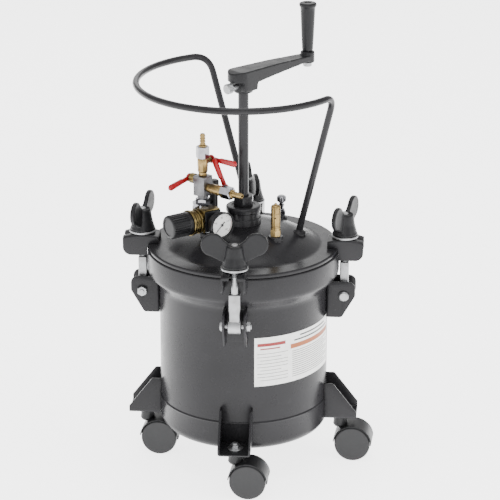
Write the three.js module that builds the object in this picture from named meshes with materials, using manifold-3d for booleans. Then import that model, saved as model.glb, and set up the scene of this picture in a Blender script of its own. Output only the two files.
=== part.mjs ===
// Pressure pot with a hand-cranked agitator: a lidded steel tank on four casters, four swing-bolt
// clamps, a lifting ring and an air and fluid manifold. Millimetres, +Z up.
// +X points through the right-hand clamp. Everything is drawn with its height above the floor;
// the last lines bring the origin to the middle of the tank's flat underside.

import * as THREE from 'three';
import { mergeVertices } from 'three/addons/utils/BufferGeometryUtils.js';
import Module from 'manifold-3d';

// ---- Driving dimensions -------------------------------------------------------------------

const gap = 0.3; // between touching pieces
const deg = Math.PI / 180;

// tank
const bodyRadius = 125;
const shellWall = 3;
const bottomHeight = 58; // underside of the tank above the floor
const bottomCorner = 15;
const seamHeight = 103;
const seamStep = 0.8;
const rimHeight = 334;
const rimFlare = 17; // the rim stands this far outside the body
const rimWall = 12;
const rimBand = 34; // straight part of the rim
const rimTaper = 19;

// lid
const gasketThickness = 2.4;
const gasketWidth = 7;
const lidPlate = 3.5;
const lidInset = 4; // lid's edge inside the rim's
const lidLedge = 25; // flat ring outside the dome
const domeRise = 33;

// clamps
const clampOffset = 25; // swing bolt outside the body
const pinDepth = 68; // hinge pin below the rim
const pinRadius = 3.7;
const lugPlate = 3;
const tankLugWidth = 34;
const tankLugAbove = 22; // lug's edges above and below the pin
const tankLugBelow = 34;
const lidLugWidth = 35.6;
const lidLugReach = 28; // beyond the swing bolt
const lidLugSkirt = 12; // below and above the rim
const lidLugRise = 20;
const boltRadius = 5;
const boltEyeRadius = 11;
const boltEyeWidth = 19;
const shankLength = 50; // thick part of the bolt, from the pin
const washerRadius = 20;
const washerThickness = 3;
const nutBase = 18.6;
const nutTip = 12.5;
const nutHeight = 32;
const earRadius = 17;
const earReach = 31; // ear centre from the bolt's axis
const earHeight = 33; // ear centre above the washer
const earThickness = 6.6;
const nutTurns = [71, 16, 78, 95]; // where each wing nut came to rest, from radial, degrees

// feet and casters
const footWidth = 48;
const footPlate = 3;
const footReach = 47; // tip of the foot outside the body
const footFlange = 57;
const footUnderside = 70;
const stemOffset = 22; // caster stem outside the body
const stemSize = 5;
const wheelRadius = 27;
const wheelWidth = 14;
const casterWidth = 38;
const casterTrail = 20;
const casterTurn = 4.7 - 8; // direction in which every caster trails, degrees
const hoodWall = 1.9;
const casterNeck = 10;

// lifting ring
const rodRadius = 5;
const ringOutside = 27; // ring's centre line outside the body
const ringShift = [-4, 4.5]; // middle of the ring from the tank's axis
const ringRise = 252; // above the rim
const ringGap = 138; // open angle, degrees
const ringTurn = 44.5; // middle of the opening, degrees
const ringFootInset = 43; // legs' feet inside the body's radius
const ringFootSpread = 87; // angle between the two feet, degrees
const ringBend = 26;
const footPad = 11;

// agitator
const shaftRadius = 7.6;
const glandRadius = 26;
const glandHeight = 26;
const glandNutRadius = 15;
const glandNutHeight = 15;
const crankRise = 272; // top of the crank above the rim
const crankHubLength = 34;
const crankReach = 130;
const crankTurn = 48; // where the crank came to rest, degrees
const crankHubRadius = 14;
const gripHeight = 73;
const paddleLift = 37; // above the tank's underside
const paddleRadius = 72;

// manifold, all of it turned with the outlet valve
const manifoldTurn = -34;
const manifoldX = -56.8;
const manifoldY = -29.8;
const blockSize = 20;
const blockHeight = 30;
const neckLength = 11;
const collarHeight = 8;
const collarSize = 34;
const valveRadius = 7.5;
const barbRadius = 4.4;
const stemRadiusOfValve = 2.6;
const stemPlace = 20; // valve stem from the valve's threaded end
const shortStem = 19;
const longStem = 23.5; // keeps the upper lever clear of the lower one
const leverReach = 46;
const leverWidth = 9;
const leverPlate = 3.4;
const tubeRadius = 6.5;
const tubeOffset = 24.3; // fluid tube from the manifold's upright, across the outlet valve
const tubeClearance = 15; // lower end of the fluid tube above the tank's bottom
const tubeInset = 25; // and in from the body's radius

// regulator and gauge
const regulatorTurn = -140.5;
const regulatorX = -50.6;
const regulatorY = -35.6;
const regulatorSize = 30;
const regulatorLift = 5; // body above its boss on the lid
const regulatorHeight = 31;
const knobRadius = 17.5;
const knobLength = 34;
const bonnetLength = 14; // threaded neck between the regulator's body and its panel ring
const gaugeStem = 8; // added length of the pipe between regulator and gauge
const gaugeRadius = 20;

// relief and vent valves
const reliefX = 50.5;
const reliefY = -41;
const ventX = 51;
const ventY = 74.4;

// ---- Worked-out sizes ---------------------------------------------------------------------

const rimRadius = bodyRadius + rimFlare;
const lidRadius = rimRadius - lidInset;
const domeRadius = lidRadius - lidLedge;
const bodyInner = bodyRadius - shellWall;
const rimInner = rimRadius - rimWall;
const taperTop = rimHeight - rimBand;
const taperBottom = taperTop - rimTaper;
const lidUnderside = rimHeight + gasketThickness + 2 * gap;
const lidTop = lidUnderside + lidPlate;
const domeSphere = (domeRadius ** 2 + domeRise ** 2) / (2 * domeRise);
const domeCentre = lidTop + domeRise - domeSphere;
const clampRadius = bodyRadius + clampOffset;
const pinHeight = rimHeight - pinDepth;
const tankLugTop = pinHeight + tankLugAbove;
const tankLugBottom = pinHeight - tankLugBelow;
const lidLugEnd = clampRadius + lidLugReach;
const lidLugBottom = rimHeight - lidLugSkirt;
const lidLugTop = rimHeight + lidLugRise;
const shankTop = pinHeight + shankLength;
const clampReach = lidLugTop - pinHeight;
const footEnd = bodyRadius + footReach;
const stemRadius = bodyRadius + stemOffset;
const ringRadius = bodyRadius + ringOutside;
const ringHeight = rimHeight + ringRise;
const ringFootRadius = bodyRadius - ringFootInset;
const crankTop = rimHeight + crankRise;
const crankHubBottom = crankTop - crankHubLength;
const paddleHeight = bottomHeight + paddleLift;

// ---- Materials ----------------------------------------------------------------------------

const finish = (color, roughness, metalness) =>
  new THREE.MeshStandardMaterial({ color, roughness, metalness });

const enamel = finish(0x3d3d40, 0.38, 0.3);
const castBlack = finish(0x2b2b2d, 0.55, 0.2);
const zinc = finish(0xc9cacc, 0.3, 1);
const chrome = finish(0xd8d8da, 0.12, 1);
const brass = finish(0xb99a56, 0.3, 1);
const redVinyl = finish(0xc8232c, 0.45, 0);
const blackPlastic = finish(0x202123, 0.5, 0);
const rubber = finish(0x1b1b1c, 0.8, 0);
const wheelPlastic = finish(0x232325, 0.55, 0);
const dialWhite = finish(0xf2f2f0, 0.4, 0);
const alloy = finish(0x9da0a2, 0.45, 0.9);

// ---- Solid helpers ------------------------------------------------------------------------

const wasm = await Module();
wasm.setup();

// a closed three.js geometry as a manifold solid
function solid(geometry) {
  const bare = geometry.clone();
  bare.deleteAttribute('normal');
  bare.deleteAttribute('uv');
  const merged = mergeVertices(bare, 1e-4);
  const corners = merged.index.array;
  const faces = [];
  for (let i = 0; i < corners.length; i += 3) {
    const [a, b, c] = corners.slice(i, i + 3);
    if (a !== b && b !== c && c !== a) faces.push(a, b, c);
  }
  return new wasm.Manifold(new wasm.Mesh({
    numProp: 3,
    vertProperties: new Float32Array(merged.attributes.position.array),
    triVerts: new Uint32Array(faces),
  }));
}

function geometryOf(body) {
  const mesh = body.getMesh();
  const geometry = new THREE.BufferGeometry();
  geometry.setAttribute('position', new THREE.BufferAttribute(mesh.vertProperties, 3));
  geometry.setIndex(new THREE.BufferAttribute(mesh.triVerts, 1));
  return geometry;
}

const join = (first, ...rest) => rest.reduce((sum, next) => sum.add(next), first);
const cut = (first, ...rest) => rest.reduce((left, next) => left.subtract(next), first);

// turned about +Z from [radius, height] points
const turned = (profile, sides = 20) =>
  new THREE.LatheGeometry(profile.map(([r, z]) => new THREE.Vector2(r, z)), sides).rotateX(Math.PI / 2);

const turnedSolid = (profile, sides) => solid(turned(profile, sides));

// a rod along +Z
const rod = (radius, bottom, top, sides = 12) =>
  turned([[0, bottom], [radius, bottom], [radius, top], [0, top]], sides);

// a round hole whose flats, not its corners, are on the radius
const hole = (radius, bottom, top, sides = 12) =>
  rod(radius / Math.cos(Math.PI / sides), bottom, top, sides);

const box = (width, depth, bottom, top) =>
  new THREE.BoxGeometry(width, depth, top - bottom).translate(0, 0, (top + bottom) / 2);

const outlineOf = (points) => new THREE.Shape(points.map(([a, b]) => new THREE.Vector2(a, b)));

// a plate drawn in X and Z, centred on Y
function upright(points, thickness) {
  const shape = outlineOf(points);
  const options = { depth: thickness, bevelEnabled: false };
  return new THREE.ExtrudeGeometry(shape, options).translate(0, 0, -thickness / 2).rotateX(Math.PI / 2);
}

// a plate drawn in X and Y, from one height to another
function flat(points, bottom, top) {
  const shape = outlineOf(points);
  const options = { depth: top - bottom, bevelEnabled: false };
  return new THREE.ExtrudeGeometry(shape, options).translate(0, 0, bottom);
}

// regular polygon across flats
const polygon = (acrossFlats, sides) => Array.from({ length: sides }, (_, i) => {
  const angle = (i + 0.5) * 2 * Math.PI / sides;
  const corner = acrossFlats / 2 / Math.cos(Math.PI / sides);
  return [corner * Math.cos(angle), corner * Math.sin(angle)];
});

const hex = (acrossFlats, bottom, top) => flat(polygon(acrossFlats, 6), bottom, top);

// points of an arc, angles in degrees
const arc = (x, y, radius, from, to, steps) => Array.from({ length: steps + 1 }, (_, i) => {
  const angle = (from + (to - from) * i / steps) * deg;
  return [x + radius * Math.cos(angle), y + radius * Math.sin(angle)];
});

const slotShape = (x0, x1, halfWidth) => [
  ...arc(x1, 0, halfWidth, -90, 90, 2),
  ...arc(x0, 0, halfWidth, 90, 270, 6),
];

const alongX = (geometry) => geometry.clone().rotateY(Math.PI / 2);
const alongY = (geometry) => geometry.clone().rotateX(-Math.PI / 2);

const pot = new THREE.Group();

function frameAt(x, y, z, turn, parent = pot) {
  const frame = new THREE.Group();
  frame.position.set(x, y, z);
  frame.rotation.z = turn * deg;
  parent.add(frame);
  return frame;
}

function place(name, shape, material, parent = pot) {
  const mesh = new THREE.Mesh(geometryOf(shape.isBufferGeometry ? solid(shape) : shape), material);
  mesh.name = name;
  parent.add(mesh);
  return mesh;
}

// ---- Tank and lid -------------------------------------------------------------------------

const roundSides = 40; // a multiple of four, so that all four clamps meet the same facets
const cornerX = bodyRadius + seamStep - bottomCorner;
const corner = arc(cornerX, bottomHeight + bottomCorner, bottomCorner, -90, 0, 3);
const tankOutside = [
  [0, bottomHeight], ...corner,
  [bodyRadius + seamStep, seamHeight], [bodyRadius, seamHeight + seamStep],
  [bodyRadius, taperBottom], [rimRadius, taperTop], [rimRadius, rimHeight],
];
const innerCorner = bottomCorner - shellWall;
const tankInside = [
  [rimInner, rimHeight], [rimInner, taperTop], [bodyInner, taperBottom],
  ...arc(bodyInner - innerCorner, bottomHeight + bottomCorner, innerCorner, 0, -90, 3),
  [0, bottomHeight + shellWall],
];

const lidBore = shaftRadius + gap;
const domeTopAt = (r) => domeCentre + Math.sqrt(domeSphere ** 2 - r ** 2);
const domeLine = (from, to, drop, steps) => Array.from({ length: steps + 1 }, (_, i) => {
  const r = from + (to - from) * i / steps;
  return [r, domeTopAt(r) - drop];
});

// everything round, a clearance larger: what is welded on is cut to it
const roundBody = turnedSolid([
  [0, bottomHeight - gap],
  ...arc(bodyRadius + seamStep - bottomCorner, bottomHeight + bottomCorner, bottomCorner + gap, -90, 0, 3),
  [bodyRadius + seamStep + gap, seamHeight], [bodyRadius + gap, seamHeight + seamStep],
  [bodyRadius + gap, taperBottom], [rimRadius + gap, taperTop], [rimRadius + gap, rimHeight + gap],
  [lidRadius + gap, rimHeight + gap], [lidRadius + gap, lidTop + gap],
  ...domeLine(domeRadius, lidBore, -gap, 5), [0, domeTopAt(lidBore) + gap],
], roundSides);

// where a pipe passes through the lid: place and bore
const tubeHole = new THREE.Vector3(0, tubeOffset, 0).applyAxisAngle(new THREE.Vector3(0, 0, 1),
  manifoldTurn * deg).add(new THREE.Vector3(manifoldX, manifoldY, 0));
const lidBosses = [
  { x: tubeHole.x, y: tubeHole.y, bore: tubeRadius + gap, radius: 14 },
  { x: reliefX, y: reliefY, bore: 5 + gap, radius: 11 },
  { x: ventX, y: ventY, bore: 4 + gap, radius: 9 },
  { x: regulatorX, y: regulatorY, bore: 5 + gap, radius: 10 },
];
const bossTopAt = (x, y) => domeTopAt(Math.hypot(x, y)) + 3.5;

let lidSolid = turnedSolid([
  [lidRadius, lidUnderside], [lidRadius, lidTop], ...domeLine(domeRadius, lidBore, 0, 5),
  ...domeLine(lidBore, domeRadius, lidPlate, 3), [lidRadius, lidUnderside],
], roundSides);
for (const { x, y, radius } of lidBosses) {
  const foot = domeTopAt(Math.hypot(x, y) + radius) - lidPlate / 2;
  lidSolid = lidSolid.add(solid(rod(radius, foot, bossTopAt(x, y)).translate(x, y, 0)));
}
for (const { x, y, bore } of lidBosses) {
  lidSolid = lidSolid.subtract(solid(hole(bore, rimHeight, bossTopAt(x, y) + 1).translate(x, y, 0)));
}

place('tank_shell', turned([...tankOutside, ...tankInside], roundSides), enamel);
place('lid', lidSolid, enamel);
const gasketOuter = lidRadius - gap;
place('lid_gasket', turned([
  [gasketOuter - gasketWidth, rimHeight + gap], [gasketOuter, rimHeight + gap],
  [gasketOuter, rimHeight + gap + gasketThickness],
  [gasketOuter - gasketWidth, rimHeight + gap + gasketThickness],
  [gasketOuter - gasketWidth, rimHeight + gap],
], roundSides), rubber);

// ---- Clamps -------------------------------------------------------------------------------

const holeRadius = pinRadius + gap;
const pinAcross = alongY(hole(holeRadius, -30, 30, 10)).translate(clampRadius, 0, pinHeight);

// two plates, side by side, from one outline
function cheeks(outline, width, plate) {
  const offset = (width - plate) / 2;
  return [offset, -offset].map((y) => solid(upright(outline, plate).translate(0, y, 0)));
}

// U-shaped lug on the tank, open outwards and upwards
function tankLug() {
  const reach = clampRadius + 17;
  const web = bodyRadius + lugPlate;
  const outline = [
    [bodyRadius - 4, tankLugBottom], ...arc(clampRadius - 6, tankLugBottom + 6, 6, -90, -20, 2),
    ...arc(reach - 8, pinHeight + 2, 8, -20, 0, 1), ...arc(reach - 10, tankLugTop - 10, 10, 0, 90, 3),
    [bodyRadius - 4, tankLugTop],
  ];
  const back = box(web - bodyRadius + 8, tankLugWidth, tankLugBottom, taperBottom)
    .translate((web + bodyRadius - 8) / 2, 0, 0);
  return cut(join(solid(back), ...cheeks(outline, tankLugWidth, lugPlate)), roundBody, solid(pinAcross));
}

// inverted channel on the lid; its top is an arc about the pin, so that the washer swings off it
function lidLug() {
  const boltSlot = boltRadius + 1.2;
  const outer = Math.asin(lidLugReach / clampReach) / deg;
  const inner = Math.asin((clampRadius - lidRadius + 13) / clampReach) / deg;
  const crown = arc(clampRadius, pinHeight, clampReach, 90 - outer, 90 + inner, 6);
  const [endX, endZ] = crown[0];
  const outline = [
    [lidRadius - 13, lidTop - 1], [rimRadius - 2, lidTop - 1], [rimRadius - 2, lidLugBottom],
    ...arc(endX - 12, lidLugBottom + 12, 12, -90, 0, 3), [endX, endZ], ...crown.slice(1),
  ];
  const underside = arc(clampRadius, pinHeight, clampReach - lugPlate - 0.6, 90 - 20, 90 + 20, 4);
  const inside = [[lidRadius - 20, lidLugBottom - 5], [lidLugEnd + 9, lidLugBottom - 5], ...underside];
  const channel = solid(upright(outline, lidLugWidth));
  const hollow = solid(upright(inside, lidLugWidth - 2 * lugPlate));
  const slot = solid(flat(slotShape(clampRadius, lidLugEnd + 12, boltSlot), lidLugBottom, lidLugTop + 4));
  return cut(channel, hollow, slot, roundBody);
}

// pin with a head at one end and a nut at the other
function lugPin() {
  const face = tankLugWidth / 2 + gap;
  return alongY(turned([
    [0, -face - 4], [8, -face - 4], [8, -face], [pinRadius, -face],
    [pinRadius, face], [7, face], [7, face + 5], [pinRadius, face + 5], [pinRadius, face + 7], [0, face + 7],
  ], 10)).translate(clampRadius, 0, pinHeight);
}

const boltEnd = lidLugTop + gap + washerThickness + gap + nutHeight + 1.5;

function swingBolt() {
  const eye = solid(alongY(rod(boltEyeRadius, -boltEyeWidth / 2, boltEyeWidth / 2, 16))
    .translate(0, 0, pinHeight));
  const shank = solid(box(13, 16, pinHeight, shankTop));
  const thread = solid(rod(boltRadius, shankTop - 1, boltEnd));
  return cut(join(eye, shank, thread).translate([clampRadius, 0, 0]), solid(pinAcross));
}

// washer and wing nut are drawn about the bolt's axis, from the washer's underside up
const washerShape = turned([
  [boltRadius + gap, 0], [washerRadius, 0], [washerRadius, washerThickness],
  [boltRadius + gap, washerThickness], [boltRadius + gap, 0],
], 16);

function wingNut() {
  const base = washerThickness + gap;
  const cone = turnedSolid([
    [0, base], [nutBase, base], [nutBase, base + 3], [nutTip + 2, base + 16],
    [nutTip, base + nutHeight], [0, base + nutHeight],
  ], 14);
  const ears = [1, -1].map((side) => {
    const disc = upright(arc(earReach, earHeight + base, earRadius, 0, 334.3, 13), earThickness);
    const neck = upright([
      [0, base + 5], [20, base + 9], [earReach + 6, earHeight + base - 15],
      [earReach - 12, earHeight + base + 10], [0, base + 27],
    ], earThickness);
    return join(solid(disc), solid(neck)).rotate([0, 0, side > 0 ? 0 : 180]);
  });
  return cut(join(cone, ...ears), solid(hole(boltRadius + gap, 0, base + nutHeight + 5)));
}

const sides = ['right', 'back', 'left', 'front'];
sides.forEach((side, i) => {
  const clamp = frameAt(0, 0, 0, i * 90);
  place(`clamp_lug_${side}`, tankLug(), enamel, clamp);
  place(`lid_lug_${side}`, lidLug(), enamel, clamp);
  place(`lug_pin_${side}`, lugPin(), zinc, clamp);
  place(`swing_bolt_${side}`, swingBolt(), zinc, clamp);
  const nut = frameAt(clampRadius, 0, lidLugTop + gap, nutTurns[i], clamp);
  place(`clamp_washer_${side}`, washerShape, zinc, nut);
  place(`wing_nut_${side}`, wingNut(), castBlack, nut);
});

// ---- Feet and casters ---------------------------------------------------------------------

function footBracket() {
  const top = footUnderside + footFlange;
  const outline = [
    [bodyRadius - 14, footUnderside], [footEnd, footUnderside],
    ...arc(footEnd - 3, footUnderside + 10, 3, 0, 60, 1),
    ...arc(bodyRadius + 9, top - 5, 5, 40, 90, 2), [bodyRadius - 14, top],
  ];
  const plate = box(footReach + 14, footWidth, footUnderside, footUnderside + footPlate)
    .translate((footEnd + bodyRadius - 14) / 2, 0, 0);
  const stemHole = hole(stemSize + gap, footUnderside - 2, footUnderside + footPlate + 2)
    .translate(stemRadius, 0, 0);
  return cut(join(solid(plate), ...cheeks(outline, footWidth, footPlate)), roundBody, solid(stemHole));
}

const axleRadius = 4;
const hoodInner = wheelRadius + 1;
const hoodOuter = hoodInner + hoodWall;
const hoodGap = casterWidth - 2 * wheelWidth; // between the two wheels

// the caster is drawn about its stem: X is where it trails, Y is along the axle
function casterHood() {
  const across = (radius, width) =>
    solid(alongY(rod(radius, -width / 2, width / 2, 20)).translate(casterTrail, 0, wheelRadius));
  const shell = cut(across(hoodOuter, casterWidth), across(hoodInner, casterWidth + 2));
  const lower = solid(box(80, 80, -20, wheelRadius + 3).translate(casterTrail, 0, 0));
  const webWidth = hoodGap - 2;
  const web = across(hoodInner + 0.5, webWidth).intersect(
    solid(box(60, 60, wheelRadius - 7, wheelRadius + 40).translate(casterTrail, 0, 0)));
  const neck = solid(turned([
    [0, 32], [casterNeck, 34], [casterNeck, footUnderside - gap], [0, footUnderside - gap],
  ], 14));
  const stem = solid(rod(stemSize, footUnderside - 4, footUnderside + footPlate + 9));
  const wheelRoom = [1, -1].map((side) => solid(alongY(rod(hoodInner, 0, wheelWidth + 4, 20))
    .translate(casterTrail, side > 0 ? webWidth / 2 : -webWidth / 2 - wheelWidth - 4, wheelRadius)));
  const frame = cut(join(neck, shell.subtract(lower), web), ...wheelRoom);
  const axleHole = solid(alongY(hole(axleRadius + gap, -30, 30)).translate(casterTrail, 0, wheelRadius));
  return cut(join(frame, stem), axleHole);
}

// both wheels and their axle, about the axle's middle
function casterWheels() {
  const inner = hoodGap / 2;
  const outer = casterWidth / 2;
  return alongY(turned([
    [0, -outer], [wheelRadius - 3, -outer], [wheelRadius, -outer + 3],
    [wheelRadius, -inner], [axleRadius, -inner],
    [axleRadius, inner], [wheelRadius, inner],
    [wheelRadius, outer - 3], [wheelRadius - 3, outer], [0, outer],
  ], 20)).translate(casterTrail, 0, wheelRadius);
}

sides.forEach((side, i) => {
  place(`foot_bracket_${side}`, footBracket(), enamel, frameAt(0, 0, 0, i * 90));
  const stem = new THREE.Vector2(stemRadius, 0).rotateAround(new THREE.Vector2(), i * 90 * deg);
  const caster = frameAt(stem.x, stem.y, 0, casterTurn);
  place(`caster_hood_${side}`, casterHood(), blackPlastic, caster);
  place(`caster_wheels_${side}`, casterWheels(), wheelPlastic, caster);
});

// ---- Lifting ring -------------------------------------------------------------------------

const polar = (radius, angle, z) =>
  new THREE.Vector3(radius * Math.cos(angle * deg), radius * Math.sin(angle * deg), z);

const onRing = (angle) =>
  polar(ringRadius, angle, ringHeight).add(new THREE.Vector3(...ringShift, 0));

// foot, leg, bend, ring, bend, leg, foot as one line of centres
function ringLine() {
  const start = ringTurn + ringGap / 2;
  const end = ringTurn - ringGap / 2 + 360;
  const feet = [1, -1].map((s) => {
    const foot = polar(ringFootRadius, ringTurn + s * ringFootSpread / 2, 0);
    return foot.setZ(domeTopAt(ringFootRadius) + 3);
  });
  const bendAngle = ringBend / ringRadius / deg;
  const bend = (foot, angle, inward) => {
    const corner = onRing(angle);
    const below = corner.clone().add(foot.clone().sub(corner).setLength(ringBend));
    const along = onRing(angle + inward * bendAngle);
    return new THREE.QuadraticBezierCurve3(below, corner, along);
  };
  const first = bend(feet[0], start, 1);
  const last = bend(feet[1], end, -1);
  const line = new THREE.CurvePath();
  line.add(new THREE.LineCurve3(feet[0], first.v0));
  line.add(first);
  const ring = [];
  const ringSteps = 36;
  for (let i = 0; i <= ringSteps; i += 1) {
    const from = start + bendAngle;
    ring.push(onRing(from + (end - bendAngle - from) * i / ringSteps));
  }
  line.add(new THREE.CatmullRomCurve3(ring));
  line.add(new THREE.QuadraticBezierCurve3(last.v2, last.v1, last.v0));
  line.add(new THREE.LineCurve3(last.v0, feet[1]));
  return { line, feet };
}

function sweep(line, radius, steps, facets) {
  const section = outlineOf(arc(0, 0, radius, 0, 360 - 360 / facets, facets - 1));
  return new THREE.ExtrudeGeometry(section, { steps, extrudePath: line, bevelEnabled: false });
}

function liftingRing() {
  const { line, feet } = ringLine();
  const pads = feet.map((foot) => solid(rod(footPad, foot.z - 10, foot.z + 3).translate(foot.x, foot.y, 0)));
  return cut(join(solid(sweep(line, rodRadius, 60, 7)), ...pads), roundBody);
}
place('lifting_ring', liftingRing(), enamel);

// ---- Agitator -----------------------------------------------------------------------------

const glandBottom = domeTopAt(glandRadius) + gap;
const glandTop = domeTopAt(0) + glandHeight;
const runningBore = shaftRadius + gap;
const glandSeat = domeTopAt(0) + gap;

place('agitator_gland', cut(join(
  turnedSolid([
    [0, glandBottom - 2], [glandRadius, glandBottom - 2], [glandRadius, glandTop - 6],
    [glandRadius - 3, glandTop], [0, glandTop],
  ], 24),
  solid(flat(polygon(2 * glandNutRadius, 12), glandTop - 1, glandTop + glandNutHeight)),
), roundBody, solid(hole(runningBore, glandSeat - 20, glandTop + glandNutHeight + 5, 20))), enamel);

const shaftTop = crankTop - 6;
place('agitator_shaft', rod(shaftRadius, paddleHeight - 12, shaftTop, 20), enamel);

// two pitched blades on a hub
function paddle() {
  const hubSolid = solid(rod(14, paddleHeight, paddleHeight + 26));
  const blade = (turn) => solid(box(paddleRadius - 8, 3, -12, 12)
    .translate(8 + (paddleRadius - 8) / 2, 0, 0)
    .rotateX(40 * deg)
    .translate(0, 0, paddleHeight + 13)
    .rotateZ(turn * deg));
  const bore = hole(runningBore, paddleHeight - 5, paddleHeight + 40, 20);
  return cut(join(hubSolid, blade(0), blade(180)), solid(bore));
}
place('agitator_paddle', paddle(), zinc);

// the crank is drawn along +X from the shaft's axis
const crank = frameAt(0, 0, 0, crankTurn);
const gripBoss = 10.5;
const screwHeight = crankHubBottom + 10;

function crankArm() {
  const plan = [
    ...arc(crankReach, 0, gripBoss, -80, 80, 6), ...arc(-8, 0, crankHubRadius + 3, 85, 275, 7),
  ];
  const side = [
    [-40, crankTop - 16], [2 - crankHubRadius, crankTop - 16], [2 - crankHubRadius, crankTop - 30],
    [crankHubRadius, crankTop - 30], [34, crankTop - 25], [72, crankTop - 16],
    [crankReach - 20, crankTop - 11], [crankReach + 20, crankTop - 10], [crankReach + 20, crankTop - 3],
    [60, crankTop], [-16, crankTop], [-40, crankTop - 8],
  ];
  const arm = solid(flat(plan, crankTop - 40, crankTop + 5)).intersect(solid(upright(side, 60)));
  const rib = solid(upright([
    [0, crankTop - 29], [34, crankTop - 25], [72, crankTop - 16], [crankReach - 8, crankTop - 11],
    [crankReach - 8, crankTop - 20], [0, crankTop - 40],
  ], 60));
  const hubSolid = solid(rod(crankHubRadius, crankHubBottom, crankTop - 4, 18));
  const boss = solid(rod(gripBoss, crankTop - 14, crankTop + 3).translate(crankReach, 0, 0));
  const shaftBore = hole(runningBore, crankHubBottom - 5, shaftTop + gap, 20);
  const pinBore = hole(4 + gap, crankTop - 30, crankTop + 10).translate(crankReach, 0, 0);
  const screwBore = alongX(hole(4 + gap, -40, -runningBore + 2)).translate(0, 0, screwHeight);
  return cut(join(arm.subtract(rib), hubSolid, boss), solid(shaftBore), solid(pinBore), solid(screwBore));
}
place('crank_arm', crankArm(), castBlack, crank);

// socket-head screw that clamps the crank to its shaft
place('crank_clamp_screw', alongX(turned([
  [0, -34], [7, -34], [7.5, -33], [7.5, -24], [4, -24], [4, -runningBore - gap], [0, -runningBore - gap],
], 12)).translate(0, 0, screwHeight), zinc, crank);

// grip with its spindle, which turns in the arm's end
const gripFoot = crankTop + 3 + gap;
place('crank_grip', turned([
  [0, crankTop - 20], [6.5, crankTop - 20], [6.5, crankTop - 14 - gap], [4, crankTop - 14 - gap],
  [4, gripFoot], [7, gripFoot], [7.6, gripFoot + 4], [10.2, gripFoot + gripHeight - 6],
  [11.6, gripFoot + gripHeight - 4], [11.6, gripFoot + gripHeight - 1],
  [10, gripFoot + gripHeight], [0, gripFoot + gripHeight],
], 18).translate(crankReach, 0, 0), castBlack, crank);

// ---- Manifold and ball valves -------------------------------------------------------------

const manifold = frameAt(manifoldX, manifoldY, 0, manifoldTurn);
const neckRadius = 7;
const regulatorBottom = bossTopAt(regulatorX, regulatorY) + regulatorLift;
const collarBottom = regulatorBottom + regulatorHeight + gap;
const collarTop = collarBottom + collarHeight;
const blockBottom = collarTop + neckLength;
const blockTop = blockBottom + blockHeight;
const outletHeight = blockBottom + 13;
const inletHeight = blockTop - 8;
const tubeTop = outletHeight + 4;
const levelAt = (x, z, turn = 0) => frameAt(x, 0, z, turn, manifold);

// cross block with its neck, its side boss to the fluid tube and the inlet valve's stem
const crossBlock = join(
  solid(box(blockSize, blockSize, blockBottom, blockTop)),
  solid(flat(polygon(collarSize, 8), collarBottom, collarTop)),
  solid(rod(neckRadius, collarTop - 1, blockBottom + 1)),
  solid(alongY(rod(6.5, 0, tubeOffset - tubeRadius - gap)).translate(0, 0, outletHeight)),
  solid(alongX(rod(7.5, -blockSize / 2 - 12, 0)).translate(0, 0, inletHeight)),
  solid(alongX(rod(stemRadiusOfValve, -blockSize / 2 - shortStem, 0, 12)).translate(0, 0, inletHeight)),
);
place('manifold_block', crossBlock, alloy, manifold);

// a small ball valve along +Z from z = 0, with its stem along +Y and a hose barb
function ballValve(stemReach) {
  const barb = [[6, 45]];
  for (let i = 0; i < 4; i += 1) {
    barb.push([barbRadius, 47 + 4 * i], [barbRadius - 1, 47.4 + 4 * i]);
  }
  return join(
    turnedSolid([[0, 0], [6, 0], [6, 5], [valveRadius, 7], [valveRadius, 27], [0, 27]], 16),
    solid(hex(17, 26.5, 44)),
    turnedSolid([[0, 43.5], [6, 43.5], ...barb, [barbRadius - 1, 63], [0, 63]], 12),
    solid(alongY(rod(4.6, 0, stemReach - 7, 12)).translate(0, 0, stemPlace)),
    solid(alongY(rod(stemRadiusOfValve, stemReach - 8, stemReach, 12)).translate(0, 0, stemPlace)),
  );
}

// lever about its stem, which points along +Y; at no pitch it lies along +X
function leverOn(name, parent, stemReach, pitch) {
  const start = stemReach - 6 + gap;
  const outline = [
    ...arc(0, 0, 6.2, 50, 310, 8), [12, -3.2],
    ...arc(leverReach - leverWidth / 2, 0, leverWidth / 2, -90, 90, 6), [12, 3.2],
  ];
  const handle = new THREE.Group();
  handle.rotation.y = -pitch * deg;
  parent.add(handle);
  place(name, cut(
    solid(upright(outline, leverPlate).translate(0, start + leverPlate / 2, 0)),
    solid(alongY(hole(stemRadiusOfValve + gap, stemReach - 9, stemReach + 1))),
  ), redVinyl, handle);
}

function valveAt(name, stemReach, turn, x, z) {
  const valve = new THREE.Group();
  valve.position.set(x, 0, z);
  valve.rotation.y = turn * deg;
  manifold.add(valve);
  place(name, ballValve(stemReach), brass, valve);
}
valveAt('air_outlet_valve', longStem, 0, 0, blockTop + gap);
leverOn('air_outlet_lever', levelAt(0, blockTop + gap + stemPlace), longStem, 0);
valveAt('fluid_outlet_valve', shortStem, 90, blockSize / 2 + gap, outletHeight);
leverOn('fluid_outlet_lever', levelAt(blockSize / 2 + gap + stemPlace, outletHeight), shortStem, 117);
leverOn('air_inlet_lever', levelAt(-blockSize / 2, inletHeight, 90), shortStem, 188);

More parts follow.
